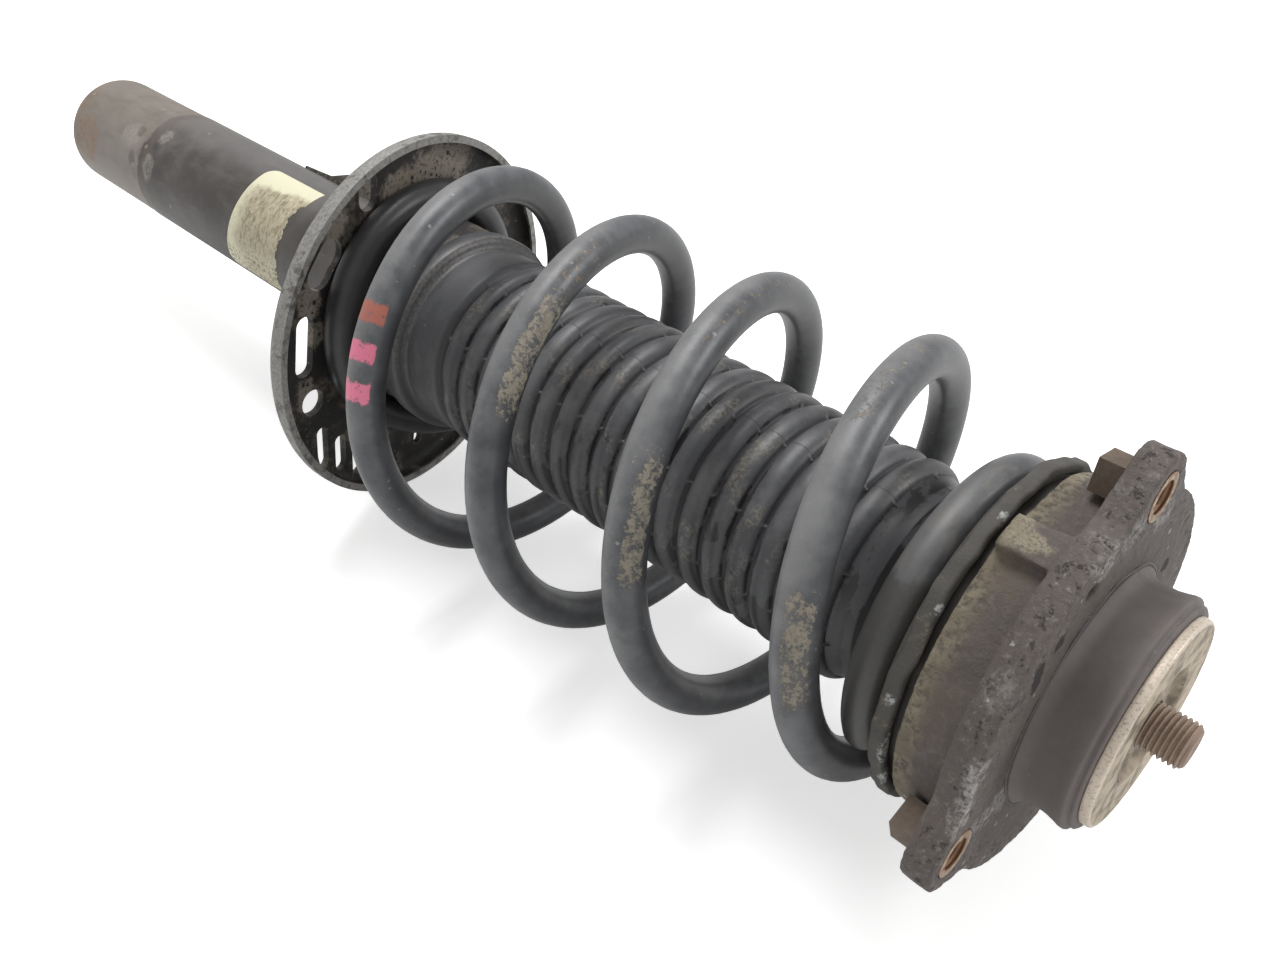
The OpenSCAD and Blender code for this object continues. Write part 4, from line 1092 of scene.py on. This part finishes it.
def studio(floor_z):
    """The camera where the photo was taken, the white paper and the lights."""
    sensor_width, focal_pixels, picture_width = 36.0, 1150, 1280
    lens = focal_pixels / picture_width * sensor_width
    data = set_up(bpy.data.cameras.new("photo_camera"), sensor_width=sensor_width, lens=lens, clip_start=0.01)
    camera = into_scene("photo_camera", data)
    right = Vector((0.7118, 0.7024, 0.0004))
    up = Vector((-0.4359, 0.4413, 0.7843))
    back = Vector((0.5508, -0.5585, 0.6203))
    turn = Matrix((right, up, back)).transposed().to_4x4()
    place = (0.6292, -0.2375, 0.2408)
    camera.matrix_world = Matrix.Translation(place) @ turn
    scene.camera = camera

    mesh = bpy.data.meshes.new("floor")
    reach = 6.0
    signs = ((-1, -1), (1, -1), (1, 1), (-1, 1))
    corners = [(i * reach, j * reach, floor_z) for i, j in signs]
    mesh.from_pydata(corners, [], [(0, 1, 2, 3)])
    floor = into_scene("floor", mesh)
    mesh.materials.append(floor_paper())

    world = bpy.data.worlds.new("white_studio")
    scene.world = world
    world.use_nodes = True
    g = Graph(world.node_tree)
    path = g.add("ShaderNodeLightPath").outputs
    seen = g.math("MAXIMUM", path["Is Camera Ray"], path["Is Transmission Ray"])
    light_given, white_seen = 0.56, 1.0
    strength = g.level(seen, light_given, white_seen)
    background = g.add("ShaderNodeBackground", {"Color": (1, 1, 1), "Strength": strength})
    g.add("ShaderNodeOutputWorld", {"Surface": background.outputs[0]})

    area_light("key_from_above", place=(-0.05, 0.25, 1.35), aim=(0.32, 0.0, 0.0), size=0.8, power=15)
    area_light("soft_side", place=(1.5, 0.9, 0.9), aim=(0.35, 0.0, 0.0), size=0.7, power=9)
    scene.view_settings.view_transform = "Standard"


def floor_paper():
    """White paper that reads as white to the camera and keeps the strut's soft shadow."""
    f = Finish("floor_paper", specular=0.2)
    f.colour = f.blend(f.noise(60, 3), (0.86, 0.865, 0.86), (0.9, 0.9, 0.895))
    seen = f.add("ShaderNodeLightPath").outputs["Is Camera Ray"]
    f.feed(f.shader.inputs["Emission Color"], (1, 1, 1))
    glow = 0.5
    f.feed(f.shader.inputs["Emission Strength"], f.times(seen, glow))
    return f.finish(0.8)


def area_light(name, place, aim, size, power):
    """A round lamp; place, aim and size are in metres."""
    data = set_up(bpy.data.lights.new(name, "AREA"), shape="DISK", size=size, energy=power)
    light = into_scene(name, data)
    light.location = place
    light.rotation_euler = (Vector(aim) - Vector(place)).to_track_quat("-Z", "Y").to_euler()


# Strips of dirt and of rust along the spring: from and to in turns, side of the wire, width, strength
SPRING_DIRT = [
    (2.075, 2.175, (0.92, 0.08, 0.44), 0.36, 1.0),
    (3.145, 3.240, (0.78, -0.24, 0.58), 0.28, 1.0),
    (4.180, 4.260, (0.44, -0.64, 0.62), 0.42, 1.0),
    (0.985, 1.045, (0.65, -0.65, -0.36), 0.45, 1.0),
    (2.860, 2.930, (0.20, -0.50, 0.80), 0.50, 0.55),
    (3.900, 4.080, (0.10, -0.50, 0.85), 0.55, 0.55),
]
SPRING_RUST = [(2.02, 2.07, (0.8, -0.3, 0.5), 0.35, 0.9), (2.93, 3.07, (0.6, -0.4, 0.7), 0.30, 0.9)]
# Colour marks on the first coil: from and to in turns of the spring, colour, strength
COLOUR_MARKS = [
    (1.148, 1.163, (0.46, 0.130, 0.085), 0.80),
    (1.178, 1.192, (0.80, 0.20, 0.31), 0.92),
    (1.208, 1.223, (0.84, 0.22, 0.34), 0.97),
]
# On the other pieces: centre and radii in millimetres, and a strength where there is a third value
SEAT_DUST = [
    ((255, 20, 52), (20, 26, 14)), ((264, -1, 52), (8, 15, 9)), ((271, -37, 50), (5, 9, 9)),
    ((273, -54, 25), (5, 7, 9)), ((272, -53, 10), (5, 7, 7)), ((274, -63, -13), (5, 7, 9)),
]
PAD_SILVER = [
    ((537, -53, 14), (2, 2, 2.5)), ((539, -53.5, -4), (2.5, 2.5, 9)), ((538.9, -39.6, 38), (1.8, 2, 2)),
    ((538, -13.8, 53), (1.8, 2.2, 2)), ((539, -51, -17), (2, 2, 5)),
]
MOUNT_DIRT = [((543.5, -18.5, 56), (6, 9, 5)), ((549, -20.5, 56), (7, 4, 6))]
MOUNT_OXIDE = [
    ((566, -58, 12), (4, 7, 9), 1.0), ((566, -61, -1), (4, 7, 9), 1.0), ((566, -38, -15), (3, 17, 8), 0.85),
    ((566, -13, 55), (4, 9, 6), 0.9), ((566, 0, 55), (4, 8, 6), 0.7), ((566, 19, 50), (3, 8, 6), 0.8),
    ((562, -49, 35), (5, 6, 8), 0.4),
]
MOUNT_PITS = [((566, -38, 33), (3, 3, 6)), ((566, -30, 39), 3), ((566, 38, 20), 3)]


# ---------------------------------------------------------------- the scene

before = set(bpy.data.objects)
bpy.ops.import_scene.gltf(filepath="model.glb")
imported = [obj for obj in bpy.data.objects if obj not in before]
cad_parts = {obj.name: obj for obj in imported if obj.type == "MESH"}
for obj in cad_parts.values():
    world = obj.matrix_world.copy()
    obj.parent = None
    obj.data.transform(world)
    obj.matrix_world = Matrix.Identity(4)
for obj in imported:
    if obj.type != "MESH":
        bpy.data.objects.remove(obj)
cad_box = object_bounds()
scene = bpy.context.scene

greased_steel = machined_steel("greased_steel", (0.060, 0.056, 0.052), (0.105, 0.100, 0.094), 0.42)
steel = machined_steel("bare_steel", (0.34, 0.335, 0.325), (0.50, 0.495, 0.48), 0.30)
ball_steel = machined_steel("ball_steel", (0.55, 0.55, 0.55), (0.62, 0.62, 0.62), 0.15)
rubber = tower_rubber()
seat_finish = seat_paint()
tube_finish = tube_paint()
plastic = moulded_plastic()

# Nodes with their finishes and the radius that rounds their edges
DRESSED = [
    ("strut_tube", tube_finish, 0.0), ("tube_top_cap", steel, 0.3), ("lower_spring_seat", seat_finish, 0.5),
    ("hose_bracket", seat_finish, 0.4), ("upper_spring_seat", tube_finish, 0.4), ("rod_seal", rubber, 0.0),
    ("piston_ring", plastic, 0.0), ("bearing_cage", plastic, 0.0), ("bearing_balls", ball_steel, 0.0),
    ("threaded_inserts", insert_steel(), 0.35), ("stop_plate", plate_steel(Mount.plate_r), 0.35),
    ("tube_base", tube_finish, 0.0),
]
for node, material, edge in DRESSED:
    dress(node, material, edge)
for node in ("base_valve", "inner_cylinder", "rod_guide", "piston", "piston_nut", "rebound_stop",
             "mount_sleeve", "rod_washer", "rod_nut"):
    dress(node, steel)
for node in ("bearing_lower_race", "bearing_upper_race"):
    dress(node, greased_steel)
roughen_casting(dress("mount_housing", cast_aluminium(Mount.skirt_x)))

coil_spring(spring_paint())
label(label_film())
boot_finish = boot_rubber()
dust_boot(boot_finish)
boot_collar(boot_finish)
bump_stop(bump_foam())
spring_pad(pad_rubber())
mount_rubber(rubber)
rod_with_thread(rusty_rod(Mount.rust_from, Mount.stud_end))

floor_gap_m = 0.0002
studio(cad_box[0][2] - floor_gap_m)
